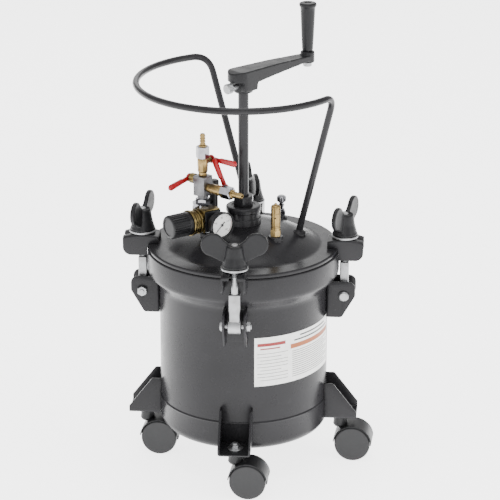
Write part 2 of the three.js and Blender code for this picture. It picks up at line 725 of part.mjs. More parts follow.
// fluid tube: an elbow head at the block, down through the lid, then out to the tank's side
function fluidTube() {
  const side = polar(bodyRadius - tubeInset, Math.atan2(tubeHole.y, tubeHole.x) / deg, 0);
  const line = new THREE.CurvePath();
  const knee = lidUnderside - 20;
  const heel = lidUnderside - 110;
  const top = new THREE.Vector3(tubeHole.x, tubeHole.y, tubeTop - 6);
  const upper = new THREE.Vector3(tubeHole.x, tubeHole.y, knee);
  const lower = new THREE.Vector3(side.x, side.y, heel);
  line.add(new THREE.LineCurve3(top, upper));
  const pullUp = lower.clone().setZ(heel + 40);
  line.add(new THREE.CubicBezierCurve3(upper, upper.clone().setZ(knee - 40), pullUp, lower));
  line.add(new THREE.LineCurve3(lower, lower.clone().setZ(bottomHeight + tubeClearance)));
  const head = turnedSolid([
    [0, tubeTop - 14], [8, tubeTop - 14], [8, tubeTop - 1], [7, tubeTop], [0, tubeTop],
  ], 20).translate([tubeHole.x, tubeHole.y, 0]);
  return solid(sweep(line, tubeRadius, 30, 8)).add(head);
}
place('fluid_tube', cut(fluidTube(), solid(alongY(rod(6.5 + gap, 0, tubeOffset - tubeRadius))
  .translate(0, 0, outletHeight).rotateZ(manifoldTurn * deg).translate(manifoldX, manifoldY, 0))), enamel);

// ---- Regulator and gauge ------------------------------------------------------------------

// X is along the knob, Y across it; the gauge is on the +Y face
const knobHeight = regulatorBottom + regulatorSize / 2;
const regulator = frameAt(regulatorX, regulatorY, knobHeight, regulatorTurn);
const half = regulatorSize / 2;

place('regulator_body', join(
  solid(box(regulatorSize, regulatorSize, -half, regulatorHeight - half)),
  solid(alongX(rod(15, half - 1, half + bonnetLength, 18))),
  solid(alongX(rod(19, half + bonnetLength - 0.5, half + bonnetLength + 4, 20))),
  solid(alongX(rod(11, half + bonnetLength + 3, half + bonnetLength + 13, 16))),
  solid(rod(5, -half - regulatorLift - 20, 1 - half)),
), blackPlastic, regulator);

const knobStart = half + bonnetLength + 4 + gap;
function regulatorKnob() {
  const ribs = 14;
  const outline = Array.from({ length: 2 * ribs }, (_, i) => {
    const r = i % 2 ? knobRadius - 1 : knobRadius;
    return [r * Math.cos(i * Math.PI / ribs), r * Math.sin(i * Math.PI / ribs)];
  });
  const body = solid(flat(outline, knobStart, knobStart + knobLength));
  return cut(body, solid(hole(11 + gap, knobStart - 1, half + bonnetLength + 13 + gap, 16)));
}
place('regulator_knob', alongX(geometryOf(regulatorKnob())), blackPlastic, regulator);

const gauge = new THREE.Group();
gauge.position.set(0, half + gap, 2);
gauge.rotation.x = -90 * deg;
regulator.add(gauge);
const dialHeight = gaugeStem + 16;
const gaugeTop = dialHeight + 4;
place('gauge_case', turned([
  [0, 0], [5, 0], [5, gaugeStem + 6], [gaugeRadius - 3, gaugeStem + 6], [gaugeRadius, gaugeStem + 9],
  [gaugeRadius, gaugeTop], [gaugeRadius - 2, gaugeTop], [gaugeRadius - 2, dialHeight], [0, dialHeight],
], 24), dialWhite, gauge);
place('gauge_needle', join(
  solid(rod(2, dialHeight + gap, gaugeTop - 2.4, 10)),
  solid(flat([[-0.9, -5], [0.9, -5], [0.3, gaugeRadius - 5], [-0.3, gaugeRadius - 5]],
    dialHeight + 2 * gap, gaugeTop - 2.8)).rotate([0, 0, -45]),
), blackPlastic, gauge);

// ---- Relief and vent valves ---------------------------------------------------------------

const relief = frameAt(reliefX, reliefY, bossTopAt(reliefX, reliefY) + gap, 0);
place('relief_valve', join(
  solid(rod(5, -8, 1, 16)), solid(hex(14, 0, 10)),
  turnedSolid([[0, 9], [6.5, 9], [6.5, 44], [5, 46.5], [0, 46.5]], 16),
  turnedSolid([[0, 46], [2, 46], [2, 49], [3, 49.5], [3, 51.5], [0, 52]], 10),
), brass, relief);

const vent = frameAt(ventX, ventY, bossTopAt(ventX, ventY) + gap, 0);
place('vent_valve', join(
  solid(rod(4, -7, 1, 12)), solid(hex(12, 0, 9)), solid(rod(4.4, 8, 22, 14)),
), chrome, vent);
place('vent_knob', turned([
  [0, 22 + gap], [5, 22 + gap], [7, 25], [7, 31], [6, 33], [0, 33],
], 16), chrome, vent);

pot.position.z = -bottomHeight;
pot.updateMatrixWorld(true);

export default pot;
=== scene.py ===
from math import atan2, cos, degrees, hypot, pi, radians, sin, sqrt

import bpy
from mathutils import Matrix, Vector


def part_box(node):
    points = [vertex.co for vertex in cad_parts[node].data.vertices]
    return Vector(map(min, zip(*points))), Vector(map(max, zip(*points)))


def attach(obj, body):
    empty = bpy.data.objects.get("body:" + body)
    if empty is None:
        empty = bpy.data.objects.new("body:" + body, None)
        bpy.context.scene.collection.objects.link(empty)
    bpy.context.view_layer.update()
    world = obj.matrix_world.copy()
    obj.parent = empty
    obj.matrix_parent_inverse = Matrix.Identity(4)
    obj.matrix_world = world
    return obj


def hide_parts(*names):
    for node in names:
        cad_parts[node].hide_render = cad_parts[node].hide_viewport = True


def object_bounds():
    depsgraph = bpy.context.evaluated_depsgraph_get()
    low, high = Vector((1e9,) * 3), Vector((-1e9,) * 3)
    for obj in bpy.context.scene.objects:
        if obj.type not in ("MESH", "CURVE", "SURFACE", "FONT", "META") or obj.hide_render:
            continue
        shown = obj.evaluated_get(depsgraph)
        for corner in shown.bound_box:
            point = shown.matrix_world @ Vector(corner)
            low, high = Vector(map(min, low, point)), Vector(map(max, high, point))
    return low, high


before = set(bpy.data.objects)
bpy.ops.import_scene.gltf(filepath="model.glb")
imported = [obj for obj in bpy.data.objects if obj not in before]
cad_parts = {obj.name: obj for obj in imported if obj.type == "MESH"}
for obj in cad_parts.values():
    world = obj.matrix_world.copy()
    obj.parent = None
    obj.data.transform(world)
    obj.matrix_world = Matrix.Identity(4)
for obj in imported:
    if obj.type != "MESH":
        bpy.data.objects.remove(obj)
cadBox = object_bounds()

mm = 0.001
sides = ["right", "back", "left", "front"]
centre = {name: (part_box(name)[0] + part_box(name)[1]) / 2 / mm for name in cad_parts}
lowest = {name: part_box(name)[0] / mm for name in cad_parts}
highest = {name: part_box(name)[1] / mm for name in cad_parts}

# camera first, so that every later stage can be looked at
view = {"azimuth": 4.7, "elevation": 20, "distance": 3.5, "lens": 170, "aim": (9.6, -5.5)}
rimTop = highest["tank_shell"].z
around, up = radians(view["azimuth"]), radians(view["elevation"])
back = Vector((sin(around) * cos(up), -cos(around) * cos(up), sin(up)))
turnCamera = (-back).to_track_quat("-Z", "Y")
aim = turnCamera @ Vector((view["aim"][0], view["aim"][1], 0)) + Vector((0, 0, rimTop))
bpy.ops.object.camera_add(location=aim * mm + back * view["distance"])
camera = bpy.context.object
camera.rotation_mode = "QUATERNION"
camera.rotation_quaternion = turnCamera
camera.data.lens = view["lens"]
bpy.context.scene.camera = camera
print("camera placed")


# modelling helpers: every size and place is in millimetres

def pick(*pieces):
    if bpy.context.mode != "OBJECT":
        bpy.ops.object.mode_set(mode="OBJECT")
    bpy.ops.object.select_all(action="DESELECT")
    for piece in pieces:
        piece.select_set(True)
    if pieces:
        bpy.context.view_layer.objects.active = pieces[0]


def applyPlace():
    bpy.ops.object.transform_apply(location=True, rotation=True, scale=True)


def draw(name, points):
    # a line through the points, extruded corner by corner
    pick()
    bpy.ops.mesh.primitive_plane_add(size=mm, location=Vector(points[0]) * mm)
    line = bpy.context.object
    line.name = name
    bpy.ops.object.mode_set(mode="EDIT")
    bpy.ops.mesh.select_mode(type="VERT")
    bpy.ops.mesh.merge(type="CENTER")
    for here, there in zip(points, points[1:]):
        step = (Vector(there) - Vector(here)) * mm
        bpy.ops.mesh.extrude_vertices_move(TRANSFORM_OT_translate={"value": step})
    bpy.ops.mesh.select_all(action="SELECT")
    return line


def closeUp():
    bpy.ops.mesh.select_all(action="SELECT")
    bpy.ops.mesh.remove_doubles(threshold=0.005 * mm)
    bpy.ops.mesh.normals_make_consistent(inside=False)
    bpy.ops.object.mode_set(mode="OBJECT")
    applyPlace()


def turned(name, outline, steps=96, at=(0, 0, 0)):
    # outline of (radius, height), spun round Z
    piece = draw(name, [(at[0] + r, at[1], at[2] + z) for r, z in outline])
    bpy.ops.mesh.spin(steps=steps, angle=2 * pi, center=Vector(at) * mm, axis=(0, 0, 1))
    closeUp()
    return piece


def faceOf(name, corners):
    # a flat face with these corners, left open for drawing out or spinning
    piece = draw(name, [*corners, corners[0]])
    bpy.ops.mesh.remove_doubles(threshold=0.005 * mm)
    bpy.ops.mesh.edge_face_add()
    return piece


def slab(name, outline, thickness, y=0.0):
    # outline in X and Z, drawn out along Y on both sides of y
    piece = faceOf(name, [(x, y - thickness / 2, z) for x, z in outline])
    bpy.ops.mesh.extrude_region_move(TRANSFORM_OT_translate={"value": (0, thickness * mm, 0)})
    closeUp()
    return piece


def deck(name, outline, low, high):
    # outline in X and Y, drawn out upwards
    piece = faceOf(name, [(x, y, low) for x, y in outline])
    bpy.ops.mesh.extrude_region_move(TRANSFORM_OT_translate={"value": (0, 0, (high - low) * mm)})
    closeUp()
    return piece


def swept(name, corners, steps, angle, axis):
    # a face spun part of the way round
    piece = faceOf(name, corners)
    bpy.ops.mesh.spin(steps=steps, angle=radians(angle), center=(0, 0, 0), axis=axis)
    closeUp()
    return piece


def boreTool(radius, low, high, at=(0, 0, 0), steps=40):
    return turned("bore", [(0, low), (radius, low), (radius, high), (0, high)], steps, at)


def block(name, low, high):
    pick()
    low, high = Vector(low), Vector(high)
    bpy.ops.mesh.primitive_cube_add(size=1, location=(low + high) / 2 * mm, scale=(high - low) * mm)
    piece = bpy.context.object
    piece.name = name
    applyPlace()
    return piece


def bentRod(name, points, radius, roundness=6):
    # a round bar along a line
    piece = draw(name, points)
    bpy.ops.object.mode_set(mode="OBJECT")
    bpy.ops.object.convert(target="CURVE")
    piece.data.bevel_depth = radius * mm
    piece.data.bevel_resolution = roundness
    piece.data.use_fill_caps = True
    bpy.ops.object.convert(target="MESH")
    bpy.ops.object.mode_set(mode="EDIT")
    closeUp()
    return piece


def put(piece, at=(0, 0, 0), turn=0, tilt=(0, 0)):
    # tilted about X and Y, turned about Z, then moved
    pick(piece)
    piece.rotation_euler = (radians(tilt[0]), radians(tilt[1]), radians(turn))
    piece.location = Vector(at) * mm
    applyPlace()
    return piece


def along(axis, piece):
    # lays a piece drawn up Z along X or Y
    return put(piece, tilt=(0, 90) if axis == "X" else (-90, 0))


def copied(piece, name):
    pick(piece)
    bpy.ops.object.duplicate()
    bpy.context.object.name = name
    return bpy.context.object


def combine(operation, piece, *tools, keep=False):
    for tool in tools:
        pick(piece)
        bpy.ops.object.modifier_add(type="BOOLEAN")
        modifier = piece.modifiers[-1]
        modifier.operation = operation
        modifier.object = tool
        modifier.solver = "EXACT"
        bpy.ops.object.modifier_apply(modifier=modifier.name)
        if not keep:
            bpy.data.objects.remove(tool)
    return piece


def unite(piece, *tools):
    return combine("UNION", piece, *tools)


def carve(piece, *tools, keep=False):
    return combine("DIFFERENCE", piece, *tools, keep=keep)


def trim(piece, *tools, keep=False):
    return combine("INTERSECT", piece, *tools, keep=keep)


def gather(piece, *others):
    pick(piece, *others)
    bpy.ops.object.join()
    return piece


def rounded(piece, width, segments=3, angle=30):
    pick(piece)
    bpy.ops.object.modifier_add(type="BEVEL")
    modifier = piece.modifiers[-1]
    modifier.width = width * mm
    modifier.segments = segments
    modifier.limit_method = "ANGLE"
    modifier.angle_limit = radians(angle)
    bpy.ops.object.modifier_apply(modifier=modifier.name)
    return piece


def castSmooth(piece, voxel, passes):
    # the soft inside corners of a casting
    pick(piece)
    bpy.ops.object.modifier_add(type="REMESH")
    modifier = piece.modifiers[-1]
    modifier.mode = "VOXEL"
    modifier.voxel_size = voxel * mm
    bpy.ops.object.modifier_apply(modifier=modifier.name)
    bpy.ops.object.modifier_add(type="SMOOTH")
    modifier = piece.modifiers[-1]
    modifier.factor = 0.5
    modifier.iterations = passes
    bpy.ops.object.modifier_apply(modifier=modifier.name)
    return piece


def arc(x, y, radius, start, end, steps):
    turns = [radians(start + (end - start) * i / steps) for i in range(steps + 1)]
    return [(x + radius * cos(a), y + radius * sin(a)) for a in turns]


def polygonOf(acrossFlats, corners):
    radius = acrossFlats / 2 / cos(pi / corners)
    return arc(0, 0, radius, 180 / corners, 180 / corners + 360, corners)[:corners]


def nutShape(name, acrossFlats, low, high, corners=6, chamfer=0.16):
    # a nut with turned-off corners
    nut = deck(name, polygonOf(acrossFlats, corners), low, high)
    tip, full = acrossFlats / 2, acrossFlats / 2 / cos(pi / corners) + 0.1
    drop = (full - tip) * chamfer * 4
    return trim(nut, turned("corners", [
        (0, low), (tip, low), (full, low + drop), (full, high - drop), (tip, high), (0, high)], 48))


def finish(piece, look, body="root", nodes=(), smooth=35):
    pick(piece)
    bpy.ops.object.shade_smooth_by_angle(angle=radians(smooth))
    piece.data.materials.clear()
    piece.data.materials.append(finishes[look]["material"])
    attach(piece, body)
    if nodes:
        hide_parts(*nodes)
    return piece


# finishes: colour and shade are the two tones it wanders between; grain and dents are
# (size of the pattern per metre, depth in millimetres)
finishes = {
    "enamel": {"slot": "tank_enamel", "colour": (0.017, 0.0165, 0.0182),
    "shade": (0.011, 0.0107, 0.012),
               "rough": (0.24, 0.36), "patch": 9, "grain": (420, 0.004), "dents": (14, 0.25),
               "wear": 0.03, "shine": 0.18},
    "casting": {"slot": "cast_black", "colour": (0.010, 0.010, 0.011), "shade": (0.007, 0.007, 0.008),
                "rough": (0.36, 0.50), "patch": 60, "grain": (900, 0.03), "dents": (170, 0.08),
                "wear": 0.06, "shine": 0.20},
    "zinc": {"slot": "zinc", "colour": (0.36, 0.365, 0.375), "shade": (0.25, 0.25, 0.25),
             "rough": (0.40, 0.55), "patch": 90, "grain": (1500, 0.012), "dents": (200, 0.02),
             "wear": 0.05, "metal": 1},
    "chromePlate": {"slot": "chrome", "colour": (0.25, 0.25, 0.265), "shade": (0.16, 0.16, 0.17),
                    "rough": (0.07, 0.17), "patch": 120, "grain": (1200, 0.006), "dents": (160, 0.01),
                    "wear": 0.04, "metal": 1},
    "brass": {"slot": "brass", "colour": (0.29, 0.205, 0.085), "shade": (0.20, 0.135, 0.055),
              "rough": (0.30, 0.44), "patch": 130, "grain": (1400, 0.012), "dents": (220, 0.02),
              "wear": 0.12, "metal": 1},
    "yellowZinc": {"slot": "brass", "colour": (0.22, 0.165, 0.065), "shade": (0.13, 0.10, 0.045),
                   "rough": (0.26, 0.42), "patch": 160, "grain": (1400, 0.012), "dents": (220, 0.02),
                   "wear": 0.10, "metal": 1},
    "alloy": {"slot": "grey_alloy", "colour": (0.155, 0.155, 0.16), "shade": (0.105, 0.105, 0.11),
              "rough": (0.34, 0.50), "patch": 120, "grain": (1300, 0.03), "dents": (240, 0.05),
              "wear": 0.12, "metal": 1},
    "vinyl": {"slot": "red_vinyl", "colour": (0.30, 0.002, 0.006), "shade": (0.22, 0.0015, 0.004),
              "rough": (0.28, 0.40), "patch": 110, "grain": (900, 0.03), "dents": (160, 0.10),
              "wear": 0.0, "shine": 0.35},
    "mouldedBlack": {"slot": "regulator_plastic", "colour": (0.007, 0.007, 0.008),
                     "shade": (0.004, 0.004, 0.005), "rough": (0.34, 0.46), "patch": 90,
                     "grain": (2200, 0.012), "dents": (150, 0.03), "wear": 0.02,
                     "shine": 0.28},
    "hoodPlastic": {"slot": "caster_plastic", "colour": (0.012, 0.012, 0.013),
                    "shade": (0.009, 0.009, 0.010), "rough": (0.36, 0.50), "patch": 70,
                    "grain": (2000, 0.015), "dents": (90, 0.06), "wear": 0.03,
                    "shine": 0.3},
    "wheelPlastic": {"slot": "wheel_plastic", "colour": (0.018, 0.018, 0.019),
                     "shade": (0.013, 0.013, 0.014), "rough": (0.42, 0.58), "patch": 60,
                     "grain": (1800, 0.02), "dents": (110, 0.05), "wear": 0.04,
                     "shine": 0.3},
    "rubber": {"slot": "gasket_rubber", "colour": (0.020, 0.020, 0.020), "shade": (0.014, 0.014, 0.014),
               "rough": (0.62, 0.80), "patch": 80, "grain": (1600, 0.04), "dents": (120, 0.04),
               "wear": 0.02},
    "dialWhite": {"slot": "gauge_white", "colour": (0.82, 0.82, 0.80), "shade": (0.74, 0.74, 0.72),
                  "rough": (0.30, 0.42), "patch": 150, "grain": (1800, 0.006), "dents": (200, 0.01),
                  "wear": 0.0},
}

# printed marks share one surface and differ in tone
for name, slot, colour, shade, patch in [
        ("dialPrint", "gauge_white", (0.020, 0.020, 0.022), (0.040, 0.040, 0.042), 700),
        ("orangePrint", "gauge_white", (0.34, 0.075, 0.001), (0.28, 0.06, 0.001), 150),
        ("greyPrint", "gauge_white", (0.012, 0.012, 0.013), (0.008, 0.008, 0.009), 150),
        ("redPrint", "red_vinyl", (0.24, 0.001, 0.002), (0.19, 0.001, 0.002), 700)]:
    finishes[name] = {"slot": slot, "colour": colour, "shade": shade, "rough": (0.40, 0.55),
        "patch": patch, "grain": (1800, 0.004), "dents": (300, 0.004), "wear": 0.0}


def noiseNode(tree, vector, scale, detail=4, roughness=0.55):
    node = tree.nodes.new("ShaderNodeTexNoise")
    node.inputs["Scale"].default_value = scale
    node.inputs["Detail"].default_value = detail
    node.inputs["Roughness"].default_value = roughness
    tree.links.new(vector, node.inputs["Vector"])
    return node.outputs["Fac"]


def rangeNode(tree, value, low, high, start, end):
    node = tree.nodes.new("ShaderNodeMapRange")
    for socket, number in zip(["From Min", "From Max", "To Min", "To Max"], [low, high, start, end]):
        node.inputs[socket].default_value = number
    tree.links.new(value, node.inputs["Value"])
    return node.outputs["Result"]


def mixNode(tree, share, first, second, blend="MIX"):
    # colours or sockets, mixed
    node = tree.nodes.new("ShaderNodeMix")
    node.data_type = "RGBA"
    node.blend_type = blend
    sockets = {"share": node.inputs[0], "first": node.inputs[6], "second": node.inputs[7]}
    for key, value in zip(["share", "first", "second"], [share, first, second]):
        if isinstance(value, bpy.types.NodeSocket):
            tree.links.new(value, sockets[key])
        elif key == "share":
            sockets[key].default_value = value
        else:
            sockets[key].default_value = (*value, 1)
    return node.outputs[2]


def bumpNode(tree, height, depth, normal=None):
    node = tree.nodes.new("ShaderNodeBump")
    node.inputs["Strength"].default_value = 1
    node.inputs["Distance"].default_value = depth * mm
    tree.links.new(height, node.inputs["Height"])
    if normal is not None:
        tree.links.new(normal, node.inputs["Normal"])
    return node.outputs["Normal"]


def makeFinish(name, look):
    material = bpy.data.materials.new(name)
    material.use_nodes = True
    tree = material.node_tree
    shader = tree.nodes["Principled BSDF"]
    place = tree.nodes.new("ShaderNodeTexCoord").outputs["Object"]
    patches = noiseNode(tree, place, look["patch"], 3)
    grain = noiseNode(tree, place, look["grain"][0], 5, 0.6)
    dents = noiseNode(tree, place, look["dents"][0], 2)
    scuffs = noiseNode(tree, place, look["patch"] * 7, 6, 0.7)
    base = mixNode(tree, rangeNode(tree, patches, 0.35, 0.65, 0, 1), look["shade"], look["colour"])
    light = tuple(min(1, c * 1.5 + 0.012) for c in look["colour"])
    worn = rangeNode(tree, scuffs, 0.60, 0.74, 0, 0.35)
    base = mixNode(tree, worn, base, light)
    edges = tree.nodes.new("ShaderNodeNewGeometry").outputs["Pointiness"]
    edges = rangeNode(tree, edges, 0.53, 0.62, 0, look["wear"] * 4)
    base = mixNode(tree, edges, base, light)
    tree.links.new(base, shader.inputs["Base Color"])
    uneven = tree.nodes.new("ShaderNodeMath")
    uneven.operation = "ADD"
    tree.links.new(patches, uneven.inputs[0])
    tree.links.new(rangeNode(tree, scuffs, 0.3, 0.8, -0.25, 0.25), uneven.inputs[1])
    rough = rangeNode(tree, uneven.outputs[0], 0.3, 0.75, *look["rough"])
    tree.links.new(rough, shader.inputs["Roughness"])
    normal = bumpNode(tree, dents, look["dents"][1])
    normal = bumpNode(tree, grain, look["grain"][1], normal)
    tree.links.new(normal, shader.inputs["Normal"])
    shader.inputs["Metallic"].default_value = look.get("metal", 0)
    shader.inputs["Specular IOR Level"].default_value = look.get("shine", 0.5)
    look["material"] = material
    return material


for name, look in finishes.items():
    makeFinish(name, look)
print("finishes mixed")

# floor, backdrop and lights
studio = {"floor": (0.93, 0.93, 0.93), "floorSize": 40, "glow": 3.2, "sky": 0.9,
    "lamps": {"leftPanel": ((-2.2, -1.3, 1.3), 1.8, 16), "rightPanel": ((2.4, -0.9, 1.2), 1.6, 22),
    "topPanel": ((0.1, -0.3, 2.6), 1.7, 34), "frontPanel": ((0.3, -3.6, 1.6), 1.6, 30),
    "backPanel": ((-0.4, 2.4, 1.8), 1.8, 18)}}
pick()
bpy.ops.mesh.primitive_plane_add(size=studio["floorSize"], location=(0, 0, cadBox[0].z))
floor = bpy.context.object
floor.name = "floor"
floorPaint = bpy.data.materials.new("paleFloor")
floorPaint.use_nodes = True
floorPaint.node_tree.nodes["Principled BSDF"].inputs["Base Color"].default_value = (*studio["floor"], 1)
floorPaint.node_tree.nodes["Principled BSDF"].inputs["Roughness"].default_value = 0.9
floorPaint.node_tree.nodes["Principled BSDF"].inputs["Emission Color"].default_value = (1, 1, 1, 1)
floorPaint.node_tree.nodes["Principled BSDF"].inputs["Emission Strength"].default_value = studio["glow"]
floor.data.materials.append(floorPaint)
world = bpy.data.worlds.new("studio")
bpy.context.scene.world = world
world.use_nodes = True
world.node_tree.nodes["Background"].inputs["Color"].default_value = (1, 1, 1, 1)
world.node_tree.nodes["Background"].inputs["Strength"].default_value = studio["sky"]
for name, (place, size, power) in studio["lamps"].items():
    bpy.ops.object.light_add(type="AREA", location=place)
    lamp = bpy.context.object
    lamp.name = name
    lamp.data.shape = "SQUARE"
    lamp.data.size = size
    lamp.data.energy = power
    lamp.rotation_euler = (Vector(place) - Vector((0, 0, 0.2))).to_track_quat("Z", "Y").to_euler()
print("studio lit")

# tank and lid
tank = {"radius": 125, "wall": 3, "corner": 15, "pan": 125.8, "seam": rimTop - 231,
    "taper": rimTop - 53, "band": rimTop - 34, "rim": highest["tank_shell"].x, "rimWall": 12,
    "top": rimTop, "lip": 2}


def tankOutline(t):
    low = t["pan"] - t["corner"]
    outer = [(0, 0), (low / 2, 0), *arc(low, t["corner"], t["corner"], -90, 0, 14),
             (t["pan"], t["seam"] - 2.2), *arc(t["radius"] + 0.2, t["seam"] - 0.2, 1.3, -40, 60, 5),
             (t["radius"], t["seam"] + 2)]
    flare = [(t["radius"], t["taper"] - 6), (t["radius"] + 0.8, t["taper"]),
        (t["radius"] + 3, t["taper"] + 4.5), (t["rim"] - 3.6, t["band"] - 4),
        (t["rim"] - 0.9, t["band"] - 0.5), (t["rim"], t["band"] + 4)]
    lip = arc(t["rim"] - t["lip"], t["top"] - t["lip"], t["lip"], 0, 90, 5)
    bore = t["rim"] - t["rimWall"]
    inner = t["radius"] - t["wall"]
    mouth = [*arc(bore + 1, t["top"] - 1, 1, 90, 180, 3), (bore, t["band"] + 2),
        (bore - 2, t["band"] - 4), (inner + 1, t["taper"] + 2), (inner, t["taper"] - 4)]
    corner = t["corner"] - t["wall"]
    floorPan = [*arc(inner - corner, t["corner"], corner, 0, -90, 12), (0, t["wall"])]
    return [*outer, *flare, *lip, *mouth, *floorPan]


tankBody = turned("tankBody", tankOutline(tank), 160)
finish(tankBody, "enamel", nodes=["tank_shell"])

# what the welded-on and bolted-on pieces are trimmed to
fit = 0.3
tankTool = turned("tankTool", [(0, -fit), *arc(tank["pan"] - tank["corner"], tank["corner"],
    tank["corner"] + fit, -90, 0, 14), (tank["pan"] + fit, tank["seam"]),
    (tank["radius"] + fit, tank["seam"] + 1), (tank["radius"] + fit, tank["taper"]),
    (tank["rim"] + fit, tank["band"]), (tank["rim"] + fit, tank["top"] + fit),
    (0, tank["top"] + fit)], 160)

lid = {"radius": highest["lid"].x, "under": lowest["lid"].z, "plate": 3.5, "dome": 113, "rise": 33,
       "neck": 7.9, "roll": 2.6, "drop": 2.0, "fillet": 7}
lidTop = lid["under"] + lid["plate"]
sphere = (lid["dome"] ** 2 + lid["rise"] ** 2) / 2 / lid["rise"]
sphereCentre = lidTop + lid["rise"] - sphere


def domeTop(r):
    return sphereCentre + sqrt(sphere ** 2 - r ** 2)


def domeLine(start, end, drop, steps):
    radii = [start + (end - start) * i / steps for i in range(steps + 1)]
    return [(r, domeTop(r) - drop) for r in radii]


def lidOutline(l):
    # the edge is rolled over towards the rim
    edge, roll = l["radius"] + l["roll"], l["roll"]
    rim = [(l["radius"] - 3, l["under"]), (edge - 1.6, l["under"] - l["drop"]),
        (edge - 0.4, l["under"] - l["drop"]), *arc(edge - roll, lidTop - roll, roll, 0, 90, 6)]
    foot = l["dome"] - l["fillet"]
    fillet = [(l["dome"] + 5, lidTop), (l["dome"] + 2, lidTop + 0.35), (l["dome"] - 1.5, lidTop + 1.6)]
    inside = [(l["dome"] - 3, l["under"] + 0.6), (l["dome"] + 1, l["under"])]
    return [*rim, *fillet, *domeLine(foot, l["neck"], 0, 18),
            *domeLine(l["neck"], foot, l["plate"], 12), *inside, rim[0]]


lidCover = turned("lidCover", lidOutline(lid), 160)
manifold = {"x": -56.8, "y": -29.8, "turn": -34, "tubeOffset": 24.3, "tubeRadius": 6.5}
swing = radians(manifold["turn"])
tubeX = manifold["x"] - manifold["tubeOffset"] * sin(swing)
tubeY = manifold["y"] + manifold["tubeOffset"] * cos(swing)
# weld-on bosses: centre, radius, bore
bosses = {"tube": (tubeX, tubeY, 14, 6.8), "relief": (50.5, -41, 11, 5.3),
          "vent": (51, 74.4, 9, 4.3), "regulator": (-50.6, -35.6, 10, 5.3)}


def bossTop(x, y):
    return domeTop(hypot(x, y)) + 3.5


for name, (x, y, radius, bore) in bosses.items():
    top = bossTop(x, y)
    foot = domeTop(hypot(x, y) + radius) - 2
    unite(lidCover, turned(name, [(0, foot), (radius + 1.6, foot), (radius + 0.4, foot + 3.2),
        (radius, foot + 4.4), (radius, top - 0.8), (radius - 0.8, top), (0, top)], 48,
        at=(x, y, 0)))
    carve(lidCover, boreTool(bore, rimTop, top + 5, (x, y, 0), 32))
finish(lidCover, "enamel", nodes=["lid"])
lidTool = turned("lidTool", [
    (0, tank["top"] - 10), (lid["radius"] + 3, tank["top"] - 10), (lid["radius"] + 3, lidTop + fit),
    *domeLine(lid["dome"], 0, -fit, 20)], 160)

gasket = {"inner": lowest["lid_gasket"].x, "width": 7, "bulge": 0.5}
gasketOuter = highest["lid_gasket"].x - gasket["bulge"]
gasketLow, gasketHigh = lowest["lid_gasket"].z, highest["lid_gasket"].z
gasketMiddle = (gasketLow + gasketHigh) / 2
lidGasket = turned("lidGasket", [(gasketOuter - gasket["width"], gasketLow),
    (gasketOuter, gasketLow), (gasketOuter + gasket["bulge"], gasketMiddle),
    (gasketOuter, gasketHigh), (gasketOuter - gasket["width"], gasketHigh),
    (gasketOuter - gasket["width"], gasketLow)], 128)
finish(lidGasket, "rubber", nodes=["lid_gasket"])
print("tank and lid turned")

# clamps: each is made for the right-hand side, then copied round the pot
clamp = {"reach": 150, "pin": centre["lug_pin_right"].z, "pinRadius": 3.7, "plate": 3, "bend": 4.5}
lug = {"width": 34, "top": 22, "bottom": 34, "out": 17}


def channelPlan(width, inner, outer, plate, bend):
    # a folded strip from above: web at the inner end, a leg along each side
    half, hollow = width / 2, max(bend - plate, 0.6)
    outside = [(outer, -half), *arc(inner + bend, -half + bend, bend, 270, 180, 6),
               *arc(inner + bend, half - bend, bend, 180, 90, 6), (outer, half)]
    leg = half - plate
    inside = [(outer, leg), *arc(inner + plate + hollow, leg - hollow, hollow, 90, 180, 4),
              *arc(inner + plate + hollow, -leg + hollow, hollow, 180, 270, 4), (outer, -leg)]
    return [*outside, *inside]


def tankLug(name):
    x, z = clamp["reach"], clamp["pin"]
    reach, low, high = x + lug["out"], z - lug["bottom"], z + lug["top"]
    piece = deck(name, channelPlan(lug["width"], 123.4, reach + 4, clamp["plate"], clamp["bend"]),
        low - 2, high + 2)
    profile = [(118, low), *arc(x - 6, low + 6, 6, -90, -20, 6), *arc(reach - 8, z + 2, 8, -20, 0, 3),
               *arc(reach - 10, high - 10, 10, 0, 90, 8), (118, high)]
    trim(piece, slab("side", profile, 60))
    carve(piece, tankTool, keep=True)
    hole = put(along("Y", boreTool(4, -30, 30)), (x, 0, z))
    carve(piece, hole)
    return rounded(piece, 0.35, 2)


lidLugSize = {"width": 35.6, "reach": 28, "skirt": 12, "rise": 20, "slot": 6.2, "bend": 3.2}


